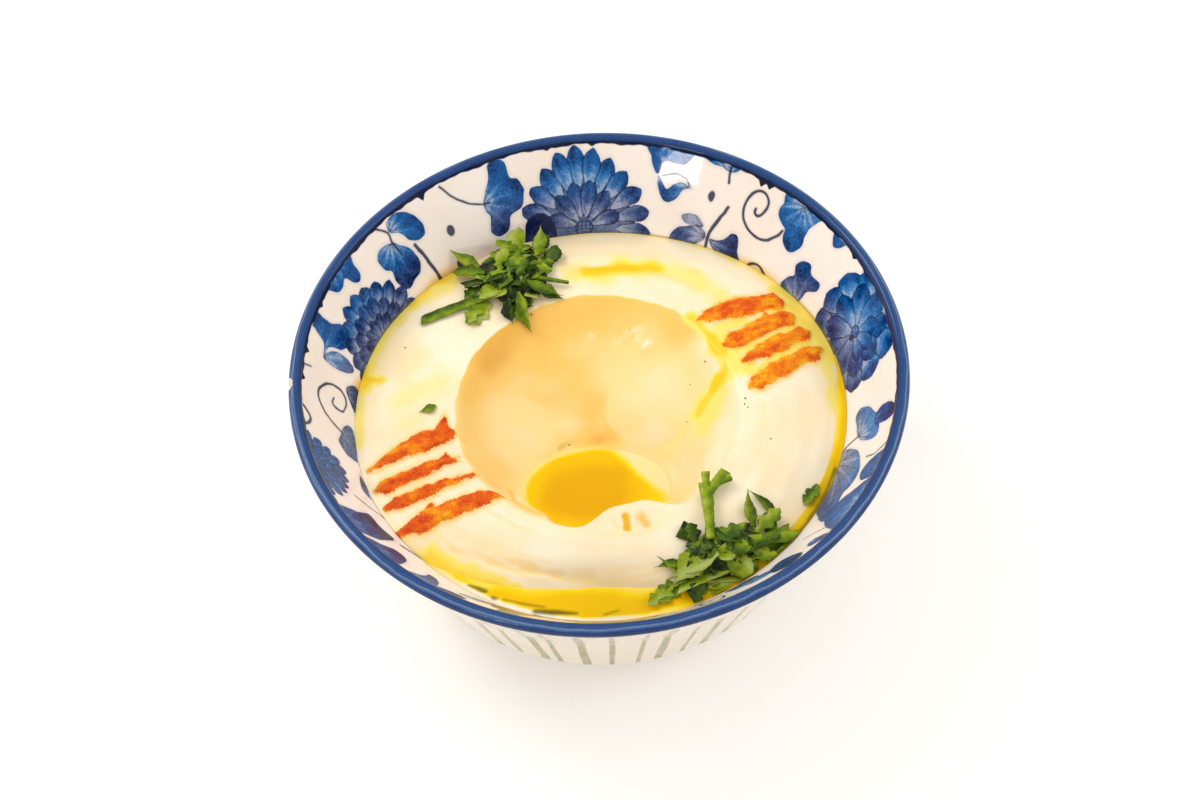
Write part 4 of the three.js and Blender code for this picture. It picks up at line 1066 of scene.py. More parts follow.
def make_dip():
    heading = column_headings(DIP_COLUMNS)
    x, y = np.moveaxis(dip_rings(heading), -1, 0)
    z = dip_detail_height(x, y)
    edge = POOL_RINGS + WELL_RINGS      # the ring that lies on the well's edge
    for _ in range(4):                  # round that edge a little
        z[edge - 4:edge + 6] = (z[edge - 5:edge + 5] + 2 * z[edge - 4:edge + 6] + z[edge - 3:edge + 7]) / 4
    rings = np.concatenate([np.stack([x, y, z], -1), np.array(dip_underside(heading))])
    middle = (POOL_X, POOL_Y, pool_bed(0) - POOL_GAP)
    points, faces = capped_rings(middle, rings, (0, 0, FLOOR_HEIGHT + 0.3))
    x, y = points[:, 0], points[:, 1]
    values = {"powder": powder_reach(x, y), "redness": powder_redness(x, y), "gold_and_shade": gold_and_shade_share(x, y),
              "oiled": oiled_share(x, y), "pit_shade": np.clip(pit_share(x, y)[1], 0, 1),
              "dusk": lines_drawn(DUSK, x, y, 0.8)[0]}
    return make_piece("hummus_dip", points, faces, dip_material(), "hummus", values)


def powder_redness(x, y):
    """How red the powder is: redder in patches and at the left, yellower at its edges."""
    left = smooth(x, 10, -10)
    along, across = 0.92 * x + 0.39 * y, 0.92 * y - 0.39 * x
    uneven = 0.16 * value_noise(x / 3.2, y / 2.4, 0, 14) + 0.2 * value_noise(along / 5, across / 1.1, 0, 27)
    edge = smooth(powder_reach(x, y), 0.7, -0.4) * (1 - 0.5 * left)
    return 0.19 + 0.15 * left + uneven + patches(x, y, REDDER) - 0.4 * edge


def swell_share(number, x, y, crisp_at):
    """1 on a swell in the well's floor, where light is painted; its edge is crisp towards one heading and
    soft elsewhere.
    """
    sx, sy, across, deep, _ = SWELLS[number]
    away = np.hypot((x - sx) / across, (y - sy) / deep) + 0.05 * plan_noise(x, y, 4, 22)
    crisp = smooth(np.cos(np.radians(heading_of(x - sx, y - sy) - crisp_at)), 0.0, 0.6)
    return crisp * (0.55 * smooth(away, 1.12, 0.96) + 0.45 * bell(away)) + (1 - crisp) * bell(away / 1.1)


def well_gold_and_shade(x, y, heading, to_edge, crisp):
    """How golden the well's floor is painted: more golden towards its back and down its steep back left
    side as painted shade, paler towards the left, paler on the swells as painted light, and paler where
    glints are painted.
    """
    gold_and_shade = 0.52 + 0.16 * ((y - WELL_Y) / WELL_RADIUS) + 0.16 * smooth(to_edge, 12, 0) * crisp
    gold_and_shade = gold_and_shade + 0.34 * toward(heading, 142, 34) * smooth(to_edge, 18, 0)
    gold_and_shade = gold_and_shade - 0.2 * toward(heading, 192, 34) * smooth(to_edge, 14, 0)
    gold_and_shade = gold_and_shade - 0.34 * swell_share(0, x, y, 235) - 0.2 * swell_share(1, x, y, 20)
    gold_and_shade = gold_and_shade + patches(x, y, WELL_PATCHES) + 0.09 * value_noise(x / 7, y / 5, 0, 23)
    broken = smooth(plan_noise(x, y, 0.9, 28), -0.5, 0.5)
    return np.clip(gold_and_shade - broken * sum(lines_drawn(GLINTS, x, y, 1.0)), 0, 1.1)


def gold_and_shade_share(x, y):
    """Where the dip is painted golden, mostly as shade: down in the well, with a crisp edge at its back
    left, on the ledge's slope and in the creases.
    """
    heading, to_edge = to_well_edge(x, y)
    to_edge = to_edge + 0.35 * plan_noise(x, y, 3, 15)
    crisp = smooth(np.cos(np.radians(heading - 128)), -0.12, 0.1)
    inside = crisp * smooth(to_edge, -0.1, 0.6) + (1 - crisp) * smooth(to_edge, 0, 11)
    r = np.hypot(x, y)
    slope = smooth(WELL_RADIUS - r, -1.5, 1) * smooth(WELL_RADIUS - r, 4.5, 2)
    # painted shade on the steep slope of the well's edge beside the second lobe
    ledge = toward(heading, LOBES[1][0], 14, 2) * slope
    turn = heading_of(x, y)
    # the ring: tan and pale strokes painted as the light and shade of its spoon ridges, most along the
    # front, and more golden towards the wall
    strokes = value_noise(r / 0.9, turn / 22, 0, 24) + 0.6 * value_noise(r / 2.3, turn / 40, 0, 25)
    ring = toward(turn, 250, 52) * (0.07 + 0.11 * strokes) + 0.04 * strokes + 0.1 * smooth(r, 54, 63)
    gold_and_shade = well_gold_and_shade(x, y, heading, to_edge, crisp) * inside + ring * (1 - inside)
    return gold_and_shade + 0.5 * ledge + sum(lines_drawn(CREASES, x, y))


def film_share(x, y):
    """1 where the oil at the right of the pool is only a film over the dip."""
    past = 0.742 * (x - 4) + 0.67 * (y + 7) + 0.5 * plan_noise(x, y, 3, 29)
    return smooth(past, -0.6, 3.4)


def oiled_share(x, y):
    """How much oil lies on the dip: the streaks, and a film round the pool."""
    film = POOL_FILM * smooth(pool_share(x, y), 1.16, 1.02) * (1 - film_share(x, y))
    return np.maximum.reduce(lines_drawn(OIL_STREAKS, x, y, 0.4) + [film])


# ---- the oil --------------------------------------------------------------------------
POOL_COLUMNS = 160


def make_pool():
    turn = np.radians(column_headings(POOL_COLUMNS))
    rings = [(share, POOL_LEVEL) for share in np.linspace(0.06, 0.97, 24)]
    rings += [(0.995, POOL_LEVEL + 0.01), (1.006, POOL_LEVEL - 0.06)]
    rings += [(share, pool_bed(share) - 0.12) for share in (1.0, 0.8, 0.5, 0.25)]
    body = [(POOL_X, POOL_Y, 0) + round_section(share, turn, z) * (POOL_A, POOL_B, 1) for share, z in rings]
    points, faces = capped_rings((POOL_X, POOL_Y, POOL_LEVEL), body, (POOL_X, POOL_Y, pool_bed(0) - 0.1))
    x, y = points[:, 0], points[:, 1]
    rho = pool_share(x, y) + 0.02 * plan_noise(x, y, 3, 17)
    from_deep = np.hypot((x + 3.5) / 17, (y + 17) / 12) + 0.14 * plan_noise(x, y, 5, 26)
    # paler at the pool's rim, partly as thinner oil and partly as a painted highlight
    depth = 0.9 * smooth(from_deep, 1.15, 0.45) - 0.6 * smooth(rho, 0.95, 1.0) - 0.55 * smooth(x, 3, 17)
    film = film_share(x, y)
    values = {"depth": np.clip(depth, -1, 1) * (1 - film) - 1.8 * film, "mark": 0 * depth}
    return make_piece("oil_in_well", points, faces, oil_material(), "oil_pool", values)


# Painted leaf tips that show through the oil beside the wall: ends in plan, half width and strength. The
# last two run along the wall at the front right, partly leaf and partly painted shade.
MOAT_MARKS = [([(-35.3, -51.4), (-31.2, -53.2)], 0.5, 0.85), ([(-29.3, -55.1), (-28.7, -55.3)], 0.5, 0.8),
              ([(-26.5, -55.7), (-21.6, -57), (-16.6, -58.2)], 0.36, 0.6),
              ([(-18.8, -59.3), (-12.7, -59.9), (-8.4, -60.3)], 0.55, 0.9),
              ([(-1.4, -61), (2, -60)], 0.4, 0.6),
              ([(60, -23), (56.3, -31.1), (52.6, -36.8), (48.3, -42)], 0.6, 0.8),
              ([(58.8, -22), (55, -30.6), (51.4, -36), (47, -41.2)], 1.8, 0.2)]
# Rows of points over the oil, as shares of the way from the wall to the shore.
MOAT_SHARES = (1.0, 0.93, 0.86, 0.78, 0.7, 0.6, 0.5, 0.42, 0.35, 0.29, 0.24, 0.19, 0.14, 0.09, 0.04)


def moat_rows(heading, width):
    """Sections through the oil beside the wall: over its top from the shore, then back along its bed."""
    level, foot = edge_height(heading % 360), moat_foot(heading % 360)
    outline = [(wall_radius(level) - width * share, level + 0.05 * share) for share in MOAT_SHARES]
    outline += [(wall_radius(level + 0.25) - 0.02, level + 0.25), (wall_radius(foot) - 0.05, foot + 0.06),
                (wall_radius(level) - width - 0.1, level - 0.1)]
    return np.stack([round_section(r, np.radians(heading), z) for r, z in outline], 1)


def make_moat(material):
    heading = np.linspace(223, 372, 300)
    width = moat_width(heading % 360) * smooth(heading, 222, 232) * smooth(heading, 373, 360)
    rows = moat_rows(heading, width)
    count, around = rows.shape[:2]
    end, j = (count - 1) * around, np.arange(1, around - 1)
    caps = [triangles(0, j + 1, j), triangles(end, end + j, end + j + 1)]
    faces = np.concatenate([grid_faces(count, around)[:, ::-1]] + caps)
    x, y, width = rows[..., 0], rows[..., 1], width[:, None]
    inward = np.array(MOAT_SHARES + (0.0, 0.5, 1.0)) * np.maximum(width, 0.1)
    wobble = 0.9 * plan_noise(x, y, 4, 18)
    depth = 0.15 - smooth(inward + wobble, np.maximum(width - 3.6, 0.3), width + 0.2)
    from_wall = wall_radius(edge_height(heading % 360))[:, None] - np.hypot(x, y)
    from_wall = from_wall + 0.3 * plan_noise(x, y, 2.2, 30)
    thin = smooth(from_wall, 1.7, 0.8) * toward(heading, 254, 30, 2)[:, None]
    mark = np.maximum.reduce(lines_drawn(MOAT_MARKS, x, y, 0.5))
    values = {"depth": (depth * (1 - thin) - 2.6 * thin).ravel(), "mark": mark.ravel()}
    return make_piece("oil_beside_wall", rows.reshape(-1, 3), faces, material, "oil_moat", values)


# ---- the parsley ----------------------------------------------------------------------
LEAF_CLEARANCE = 0.25
LEAF_ROWS, LEAF_COLUMNS = 22, 5     # points along and across each piece
STALK_THICKNESS, STALK_SHADE = 1.1, 0.62
TOP_LIFT = 0.7                      # how far the smaller pieces are lifted off the core
# Chopped pieces that show: root and tip in plan, the tip's height, width, kind and how pale.
BACK_LEAVES = [((-29, 37.5), (-47.7, 30.7), 0.6, 3.6, "strip", 0.5),
               ((-26, 38), (-35, 28), 0.6, 6.4, "lobed", 0.8),
               ((-22.6, 37), (-17.6, 26.5), 0.6, 4.2, "point", 0.65),
               ((-24.4, 37), (-22.6, 27.6), 0.8, 4.6, "point", 0.25),
               ((-22, 41.5), (-36, 41.2), 2, 2.6, "strip", 0.15),
               ((-23, 39), (-31.6, 35.6), 2.6, 5.6, "round", 0.75),
               ((-17.6, 39.8), (-8.8, 35.4), 0.7, 4.2, "point", 0.4),
               ((-16.4, 41), (-7, 40.2), 1.2, 1.3, "strip", 0.5),
               ((-28, 46.4), (-40, 53.5), 6, 4, "point", 0.7),
               ((-26, 43.6), (-39, 47.6), 2.4, 5.2, "lobed", 0.5),
               ((-20, 43.6), (-28, 50.6), 5.4, 5.4, "lobed", 0.6),
               ((-22, 50), (-21, 60), 6.6, 6, "round", 0.85),
               ((-16.4, 48.6), (-14.2, 61.2), 6.6, 4.6, "point", 0.72),
               ((-15.2, 46.6), (-9.6, 53.6), 2.2, 5.2, "round", 0.3),
               ((-17.4, 46.6), (-26, 57), 5, 5.4, "lobed", 0.65),
               ((-21, 43), (-11.6, 44), 2.4, 4.8, "lobed", 0.7),
               ((-29.6, 42.6), (-35.8, 37.2), 0.9, 3.8, "lobed", 0.35),
               ((-18.4, 51), (-12, 57.6), 3.2, 4.4, "round", 0.35),
               ((-24, 41.5), (-18.4, 45.5), 6.2, 4.4, "round", 0.55),
               ((-20, 47.5), (-15.4, 43.6), 5.8, 4, "lobed", 0.45),
               ((-27.4, 44.6), (-23.4, 49.6), 6.4, 4.2, "round", 0.8)]
FRONT_LEAVES = [((27, -47), (16.2, -54.4), 1.6, 8, "point", 0.85),
                ((28, -46.4), (36, -53.6), 2.4, 6.6, "round", 0.7),
                ((38, -44), (36.6, -31.2), 2.8, 3.6, "point", 0.5),
                ((35, -44.4), (44.6, -36.4), 2.4, 5, "lobed", 0.6),
                ((23, -48), (21, -40.6), 3, 4.4, "lobed", 0.15),
                ((32, -50.6), (17.4, -56), 1.6, 3.2, "strip", 0.7),
                ((22, -50), (11.6, -59), 1, 4.4, "lobed", 0.45),
                ((25.6, -51), (21.4, -60), 1.2, 5, "lobed", 0.2),
                ((30, -51), (27.2, -59.4), 1, 5, "lobed", 0.65),
                ((34.4, -45), (48.6, -43), 1.6, 3.2, "strip", 0.55),
                ((35, -46.6), (46.4, -41), 1.8, 3.6, "strip", 0.35),
                ((33.4, -48.4), (43.4, -49), 1.4, 4, "lobed", 0.6),
                ((22, -49), (11.8, -50.4), 1.2, 2.8, "point", 0.4),
                ((24, -47.6), (34, -43), 5.2, 5.8, "lobed", 0.3),
                ((33.6, -47.4), (28, -50.4), 5.4, 4, "round", 0.75),
                ((29.4, -46), (35.6, -48.6), 5.8, 4, "round", 0.5)]
# The stalk's stretches: root and tip in plan, the tip's height and width.
FRONT_STALK = [((26.4, -45), (26.2, -33), 1.8, 2.9), ((26.2, -35), (26, -28), 1.8, 3.6),
               ((26.1, -30), (26.3, -23.8), 4.4, 2.2), ((26.6, -31), (31.4, -25.4), 2.2, 2.8),
               ((29, -28.6), (32.6, -27.2), 2.2, 1.6)]
# Smaller pieces that lie on the heaps: root and tip in plan, width, kind and how pale.
BACK_TOP = [((-29.8, 34.8), (-34.9, 27.9), 5.2, "lobed", 0.75),
            ((-23.5, 34.6), (-23.1, 28.6), 3.6, "lobed", 0.08),
            ((-20.9, 36), (-17.8, 27.3), 3.2, "point", 0.6),
            ((-25.2, 41), (-35.7, 41.6), 2.0, "strip", 0.12),
            ((-24, 36), (-30.4, 37.3), 4.6, "round", 0.75), ((-18.6, 39), (-9, 36.2), 4.2, "point", 0.45),
            ((-30.3, 41.7), (-38.6, 50.6), 3.2, "point", 0.6),
            ((-29.4, 40.6), (-33, 48.4), 3.4, "lobed", 0.85),
            ((-29.9, 41.2), (-23.5, 43), 3.2, "point", 0.55),
            ((-20, 47), (-24.4, 53.4), 5, "lobed", 0.65), ((-19.6, 52), (-20.6, 58), 5.0, "round", 0.8),
            ((-15.6, 50), (-14.4, 58), 3.6, "point", 0.7), ((-16.6, 46), (-11, 48.4), 4.4, "lobed", 0.5),
            ((-21, 40.6), (-15.4, 43.8), 4.2, "lobed", 0.35),
            ((-24.6, 46), (-19.6, 44.2), 4, "round", 0.6), ((-27, 45), (-24, 50.6), 4.6, "lobed", 0.75),
            ((-18, 41), (-22.6, 38), 3.8, "lobed", 0.2), ((-13.6, 52), (-9.4, 51), 4.6, "round", 0.25)]
FRONT_TOP = [((22.6, -43), (18.6, -41), 4.4, "strip", 0.08),
             ((27.8, -48.8), (15.6, -52.8), 6.0, "point", 1.0),
             ((21.6, -46.2), (18.4, -50.2), 3.2, "point", 0.5),
             ((18.4, -51.8), (12.8, -48.2), 1.8, "point", 0.5),
             ((29.3, -46.6), (34.8, -53), 4.4, "strip", 0.85),
             ((34.1, -53.7), (17.9, -53.6), 1.3, "strip", 0.75),
             ((25, -55.2), (19.3, -55.8), 4.2, "lobed", 0.1),
             ((25, -55.6), (31.4, -55), 2.8, "point", 0.8), ((18, -53.6), (12, -56), 3.6, "lobed", 0.6),
             ((38.8, -41.5), (32.6, -40.8), 3.4, "lobed", 0.45),
             ((35.6, -44.9), (27.7, -44.3), 3.6, "strip", 0.2),
             ((35.2, -47.4), (41, -47), 3.6, "lobed", 0.6),
             ((43.8, -37.2), (37, -30.2), 2.8, "point", 0.3),
             ((43.8, -37.2), (37.8, -39.3), 3.4, "point", 0.4),
             ((43.2, -38.2), (39.8, -45.4), 3.4, "point", 0.3),
             ((40.3, -45.4), (45.6, -41.4), 1.6, "strip", 0.5),
             ((41.2, -46.6), (47.4, -41.8), 1.7, "strip", 0.15),
             ((41.4, -48), (48, -43.2), 1.8, "strip", 0.35), ((20, -45), (26, -48), 4.4, "lobed", 0.25),
             ((30, -44), (25, -41.4), 3.8, "lobed", 0.5), ((33, -50), (38, -51), 3.8, "lobed", 0.3),
             ((16, -56.6), (9.6, -59.4), 4.2, "lobed", 0.8)]
# Each heap's core: its middle, its two radii, its height and the heading of the first radius.
BACK_CORE = ((-22.5, 44.5), (11.5, 9.6), 5.0, 120)
FRONT_CORE = ((29.5, -47.6), (11.5, 5.6), 4.6, 20)
# Rows of points over a core and back under it, as shares of its radii, and how dark it is painted, as the
# shade under the pieces.
CORE_ROWS, CORE_UPPER_ROWS, CORE_SHADE = (0.12, 0.3, 0.5, 0.7, 0.85, 0.95, 0.7, 0.3), 6, 0.04
# Each heap: its pieces, its core, its stalk, how many random pieces, their seed, and how much paler.
HEAPS = [("back", BACK_LEAVES, BACK_TOP, BACK_CORE, [], 46, 21, 0.0),
         ("front", FRONT_LEAVES, FRONT_TOP, FRONT_CORE, FRONT_STALK, 34, 22, 0.07)]
# The lone pieces, in the same way as the chopped pieces.
LONE_BITS = {"parsley_bit_left": ((-43.4, 1.4), (-47.8, -0.4), 0.3, 3.2, "point", 0.6),
             "parsley_bit_right": ((55, -27.6), (50.8, -33), 0.3, 4.2, "lobed", 0.52)}


def rest_height(x, y):
    """Height of what leaves rest on: the dip, its powder or the oil beside the wall."""
    heading = heading_of(x, y)
    edge, width = edge_height(heading), moat_width(heading)
    in_moat = (np.hypot(x, y) > wall_radius(edge) - width) & (width > 1)
    dip = dip_height(x, y) + PAPRIKA_RISE * smooth(paprika_reach(x, y), -0.25, 0.75)
    return np.maximum(dip, np.where(in_moat, edge, 0))


def from_core(core, along, aside):
    """The plan's x and y of places given along and aside of a heap's core."""
    (cx, cy), _, _, heading = core
    c, s = math.cos(math.radians(heading)), math.sin(math.radians(heading))
    return cx + along * c - aside * s, cy + along * s + aside * c


def core_height(core, x, y):
    """Height of a heap's core above what it rests on."""
    (cx, cy), (long, deep), height, heading = core
    c, s = math.cos(math.radians(heading)), math.sin(math.radians(heading))
    along, aside = (x - cx) * c + (y - cy) * s, (y - cy) * c - (x - cx) * s
    return height * np.sqrt(np.maximum(0, 1 - (along / long) ** 2 - (aside / deep) ** 2))


def half_width(kind, t, side, phase):
    """Half width of a chopped piece along its length, as a share of its greatest, with its small teeth."""
    place = t + 0.05 * side * math.sin(phase)
    tooth = (5.5 * place + phase) % 1
    if kind == "strip":
        return 0.86 + 0.1 * np.sin(5 * place + phase) + 0.1 * tooth
    if kind == "point":
        return (0.3 + 0.7 * smooth(t, 0, 0.35)) * (1 - 0.96 * smooth(t, 0.35, 1.0)) * (0.84 + 0.16 * tooth)
    if kind == "round":
        return np.sqrt(np.clip(1 - (2 * t - 1) ** 2, 0.05, 1)) * (0.82 + 0.18 * tooth)
    lobes = 0.5 + 0.5 * np.abs(np.cos(2.7 * math.pi * (place - 0.06)))
    return (0.3 + 0.7 * smooth(t, 0, 0.45)) * (1 - 0.55 * smooth(t, 0.7, 1)) * lobes * (0.86 + 0.14 * tooth)


def thin_body(upper, thickness):
    """A closed body from a grid of points: its upper face, the same face lower down, and the rim."""
    rows, columns = upper.shape[:2]
    count = rows * columns
    top = grid_faces(rows, columns, closed=False)[:, ::-1]
    border = list(range(columns)) + [k * columns + columns - 1 for k in range(1, rows)]
    border += [count - 1 - n for n in range(1, columns)] + [k * columns for k in range(rows - 2, 0, -1)]
    here = np.array(border)
    ahead = np.roll(here, -1)
    rim = [triangles(here + count, ahead + count, here), triangles(ahead + count, ahead, here)]
    points = np.concatenate([upper.reshape(-1, 3), upper.reshape(-1, 3) - (0, 0, thickness)])
    return points, np.concatenate([top, top[:, ::-1] + count] + rim)


def leaf_mesh(start, end, root_rise, tip_rise, width, kind, shade, rng, thickness=0.2):
    """One chopped piece of leaf: a thin sheet with a little bend, folded along its midrib."""
    start, way = np.array(start, float), np.subtract(end, start)
    length = np.hypot(*way)
    side = np.array([-way[1], way[0]]) / length
    bank, wave, phase = rng.uniform(-0.3, 0.3), rng.uniform(-0.16, 0.16), rng.uniform(0, 6.3)
    if thickness > 1:                   # a stalk is straight
        bank, wave, phase = 0, 0.03, 3.1
    t, j = np.linspace(0, 1, LEAF_ROWS)[:, None], np.linspace(1, -1, LEAF_COLUMNS)
    place = t + 0.07 * math.sin(2 * phase) * j * smooth(t, 0.5, 1)
    off = wave * width * np.sin(math.pi * t) + j * 0.5 * width * half_width(kind, t, np.sign(j), phase)
    x, y = (start[k] + way[k] * place + side[k] * off for k in (0, 1))
    rise = root_rise + (tip_rise - root_rise) * t + off * bank
    rise = rise + 0.3 * wave * width * np.sin(5.2 * t + phase)
    rise = rise + (0 if kind == "strip" else 0.12) * np.abs(off)
    z = rest_height(start[0] + way[0] * t, start[1] + way[1] * t) + rise
    z = np.maximum(z, rest_height(x, y) + LEAF_CLEARANCE)
    keep = np.minimum(1, (wall_radius(z) - 0.5) / np.hypot(x, y))
    points, faces = thin_body(np.stack([x * keep, y * keep, z + thickness], -1), thickness)
    ribs = np.abs(np.abs(off) * 0.7 - (t * length) % 1.8) + 0.06
    vein = np.minimum(np.abs(off) + 0.02, ribs)
    # painted light and shade: one half of the fold lighter, the other darker
    halves = shade + 0.14 * np.sign(j) + 0 * t
    return points, faces, np.tile(vein.ravel(), 2), np.tile(halves.ravel(), 2)


def core_mesh(core):
    """The lump under a heap's pieces, as uneven as they are, painted dark as the shade beneath them."""
    (cx, cy), (long, deep), height, _ = core
    turn = np.radians(column_headings(40))
    rings = []
    for row, reach in enumerate(CORE_ROWS):
        x, y = from_core(core, long * reach * np.cos(turn), deep * reach * np.sin(turn))
        lumps = 0.7 * plan_noise(x, y, 1.6, 19)
        rise = np.maximum(0.8 * core_height(core, x, y) + lumps, LEAF_CLEARANCE + 0.15)
        if row >= CORE_UPPER_ROWS:
            rise = LEAF_CLEARANCE
        rings.append(np.stack([x, y, rest_height(x, y) + rise], -1))
    middle = float(rest_height(np.array(cx), np.array(cy)))
    points, faces = capped_rings((cx, cy, middle + 0.8 * height), rings, (cx, cy, middle + LEAF_CLEARANCE))
    return points, faces[:, ::-1], np.full(len(points), FAR), np.full(len(points), CORE_SHADE)


def random_piece(core, rng):
    """A small piece somewhere on a heap: root, tip, width, kind, how pale and how far lifted."""
    _, (long, deep), _, _ = core
    turn, reach = rng.uniform(0, 2 * math.pi), 0.95 * rng.uniform(0, 1) ** 0.5
    x, y = from_core(core, long * reach * math.cos(turn), deep * reach * math.sin(turn))
    way, size = rng.uniform(0, 2 * math.pi), rng.uniform(2.8, 5.2)
    kind = ("round", "lobed", "point", "strip", "lobed")[rng.integers(5)]
    tip = (x + size * math.cos(way), y + size * math.sin(way))
    return (x, y), tip, rng.uniform(1.8, 3.6), kind, rng.choice([0.05, 0.15, 0.3, 0.45, 0.6, 0.8]), 0.0


def heap_of_leaves(name, node, material, leaves, tops, core, stalks, extras, seed, paler):
    """A heap: its core, the pieces that show, its stalks, and small pieces by a seeded rule."""
    rng = np.random.default_rng(seed)
    parts = [core_mesh(core)]
    for start, end, tip_rise, width, kind, shade in leaves:
        trim = 0.0 if kind == "strip" else 0.3
        root = [a + trim * (b - a) for a, b in zip(start, end)]
        rise = max(0.85 * core_height(core, *root), 0.3)
        parts.append(leaf_mesh(root, end, rise, tip_rise, width, kind, shade, rng))
    for start, end, rise, width in stalks:
        root = max(0.8 * core_height(core, *start), 1.8)
        parts.append(leaf_mesh(start, end, root, rise, width, "strip", STALK_SHADE, rng, STALK_THICKNESS))
    pieces = [random_piece(core, rng) for _ in range(extras)] + [top + (TOP_LIFT,) for top in tops]
    for start, end, width, kind, shade, lift in pieces:
        root = core_height(core, *start) * rng.uniform(0.8, 1.0)
        tip = max(core_height(core, *end) * rng.uniform(0.8, 1.0), 0.2) + rng.uniform(-0.2, 0.7)
        parts.append(leaf_mesh(start, end, root + lift, tip + lift, width, kind, shade, rng, 0.18))
    offsets = np.cumsum([0] + [len(part[0]) for part in parts])
    faces = np.concatenate([part[1] + offset for part, offset in zip(parts, offsets)])
    points, veins, shades = (np.concatenate([part[k] for part in parts]) for k in (0, 2, 3))
    values = {"vein": veins, "shade": shades + paler}
    return make_piece(name, points, faces, material, node, values)


def make_parsley():
    material = parsley_material()
    for side, *heap in HEAPS:
        heap_of_leaves("parsley_leaves_" + side, "parsley_" + side, material, *heap)
    for number, (node, (start, end, rise, width, kind, shade)) in enumerate(LONE_BITS.items()):
        rng = np.random.default_rng(40 + number)
        points, faces, veins, shades = leaf_mesh(start, end, rise, rise, width, kind, shade, rng)
        values = {"vein": veins, "shade": shades}
        make_piece(node + "_leaf", points, faces, material, node, values)


# ---- loose grains of paprika and flecks of herb ---------------------------------------
# Specks of herb on the dip, in plan.
FLECKS = [(28.8, 14.3), (24.5, 9.8), (23.1, 0.5), (38.4, -0.6), (38.8, -3.6), (38, -2.4), (-52, 22),
          (44, -14), (-17.6, 31.2), (49, 8.6), (-8.9, -1.2)]
GRAIN_COUNT = 800
FLECK_SCALE, FLECK_TINT = 3, 2.0
GRAIN_CORNERS = [(1, 0, 0), (-1, 0, 0), (0, 1, 0), (0, -1, 0), (0, 0, 1), (0, 0, -1)]
GRAIN_FACES = [(0, 2, 4), (2, 1, 4), (1, 3, 4), (3, 0, 4), (2, 0, 5), (1, 2, 5), (3, 1, 5), (0, 3, 5)]


def grain_spots(rng):
    """Places of loose grains in plan, on the bands of powder and just beside them."""
    spots = []
    for _ in range(GRAIN_COUNT):
        start, end, bow, width = PAPRIKA_BANDS[rng.integers(len(PAPRIKA_BANDS))]
        way = np.subtract(end, start)
        t, off = rng.uniform(-0.04, 1.04), rng.normal(0, 0.4) * width
        off += bow * math.sin(math.pi * min(max(t, 0), 1))
        spots.append(start + way * t + np.array([-way[1], way[0]]) * (off / np.hypot(*way)))
    spots = np.array(spots)
    return spots[powder_reach(spots[:, 0], spots[:, 1]) > -0.5]


def scatter_grains():
    """Small angular grains on and round the bands of powder, and the flecks, joined into one mesh."""
    rng = np.random.default_rng(5)
    grains = grain_spots(rng)
    spots = np.concatenate([grains, FLECKS])
    size = rng.uniform(0.06, 0.15, (len(spots), 1, 1)) * rng.uniform(0.6, 1.3, (len(spots), 6, 1))
    tint = rng.uniform(0, 1, len(spots))
    size[len(grains):] *= FLECK_SCALE
    tint[len(grains):] = FLECK_TINT
    height = dip_detail_height(spots[:, 0], spots[:, 1]) + 0.06
    centre = np.column_stack([spots, height])[:, None, :]
    points = (centre + np.array(GRAIN_CORNERS) * size * (1, 1, 0.6)).reshape(-1, 3)
    faces = (np.array(GRAIN_FACES) + 6 * np.arange(len(spots))[:, None, None]).reshape(-1, 3)
    values = {"tint": np.repeat(tint, 6)}
    return make_piece("paprika_grains", points, faces, grain_material(), None, values, False)


# ---- stage, light and camera, in metres -----------------------------------------------
FLOOR_HALF = 3.0
WORLD_COLOUR, WORLD_STRENGTH = (1.0, 0.985, 0.96, 1.0), 0.82
# Area lights: name, place, aim, size, power and colour.
LIGHTS = [("key", (-0.5, 0.35, 0.75), (0, 0, 0.045), (0.4, 0.4), 2.7, (1.0, 0.98, 0.95)),
          ("fill", (0.72, 0.0, 0.62), (0, 0, 0.045), (0.5, 0.5), 1.5, (1, 1, 1)),
          ("window", (-0.273, -0.421, 0.229), (0.02, 0.07, 0.06), (0.13, 0.03), 0.36, (1, 1, 1))]
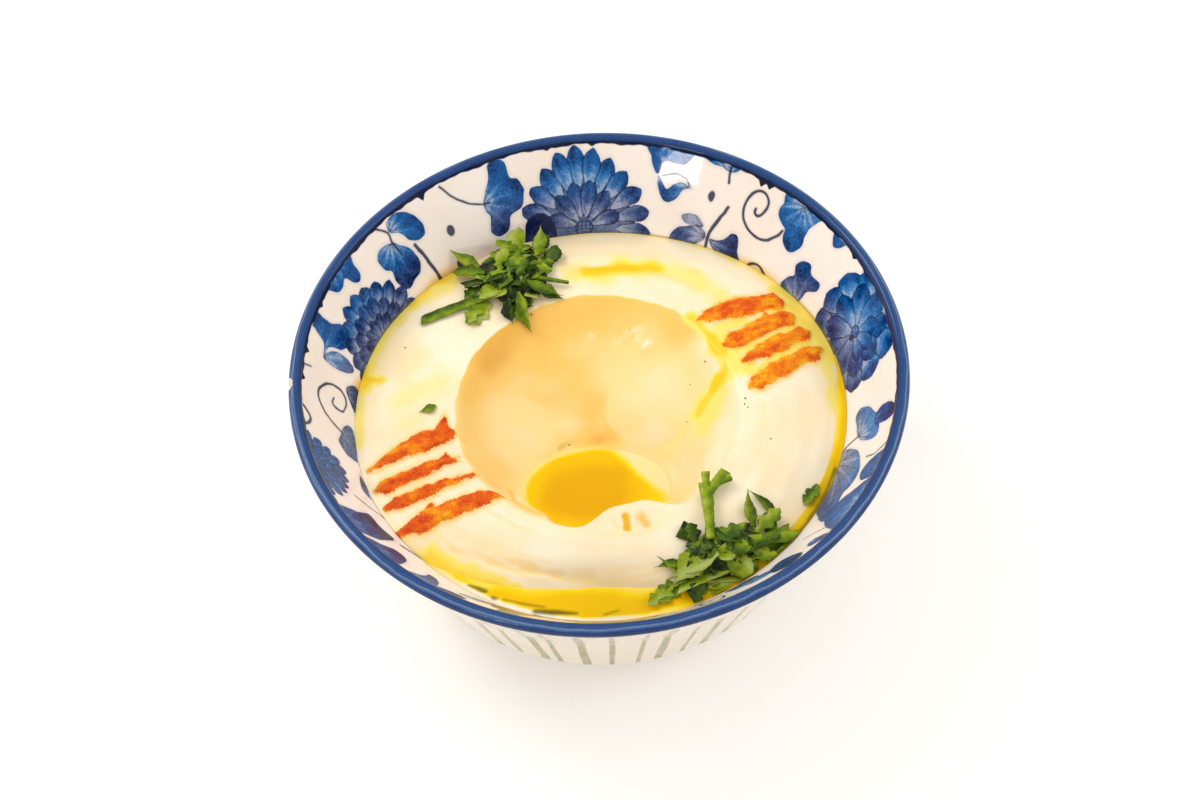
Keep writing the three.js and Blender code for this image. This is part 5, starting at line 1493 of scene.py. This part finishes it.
# The view: distance, height angle and roll of the camera, the point it looks at, and its lens.
VIEW_DISTANCE, VIEW_ELEVATION, VIEW_ROLL = 0.55, 54.5, -2.74
VIEW_AIM = (0.00001, -0.01154, 0.067)
VIEW_FOCAL_PIXELS, FRAME_WIDTH, SENSOR = 2159.5, 1200, 36.0


def build_stage():
    mesh = bpy.data.meshes.new("floor")
    corners = [(-FLOOR_HALF, -FLOOR_HALF, 0), (FLOOR_HALF, -FLOOR_HALF, 0),
               (FLOOR_HALF, FLOOR_HALF, 0), (-FLOOR_HALF, FLOOR_HALF, 0)]
    mesh.from_pydata(corners, [], [(0, 1, 2, 3)])
    mesh.materials.append(plain_material("floor_white", (0.94, 0.94, 0.94, 1.0), 0.9, 0.14))
    add_object("floor", mesh)


def light_the_scene():
    world = bpy.data.worlds.new("studio")
    bpy.context.scene.world = world
    world.use_nodes = True
    background = world.node_tree.nodes["Background"]
    background.inputs["Color"].default_value = WORLD_COLOUR
    background.inputs["Strength"].default_value = WORLD_STRENGTH
    for name, place, aim, size, power, colour in LIGHTS:
        data = bpy.data.lights.new(name, "AREA")
        data.shape, data.size, data.size_y = "RECTANGLE", size[0], size[1]
        data.energy, data.color = power, colour
        light = add_object(name, data)
        light.location = place
        light.rotation_euler = (Vector(aim) - Vector(place)).to_track_quat("-Z", "Y").to_euler()
    bpy.context.scene.view_settings.view_transform = "Standard"


def place_camera():
    data = bpy.data.cameras.new("view")
    data.sensor_width, data.sensor_fit = SENSOR, "HORIZONTAL"
    data.lens = SENSOR * VIEW_FOCAL_PIXELS / FRAME_WIDTH
    data.clip_start = 0.01
    e, roll = math.radians(VIEW_ELEVATION), math.radians(VIEW_ROLL)
    back = Vector((0, -math.cos(e), math.sin(e)))
    right = Vector((1, 0, 0))
    up = right.cross(-back)
    across = right * math.cos(roll) + up * math.sin(roll)
    upward = up * math.cos(roll) - right * math.sin(roll)
    matrix = Matrix((across, upward, back)).transposed().to_4x4()
    matrix.translation = Vector(VIEW_AIM) + back * VIEW_DISTANCE
    camera = add_object("view", data)
    camera.matrix_world = matrix
    bpy.context.scene.camera = camera


place_camera()
build_stage()
light_the_scene()
make_bowl()
make_dip()
pool = make_pool()
make_moat(pool.data.materials[0])
make_parsley()
scatter_grains()
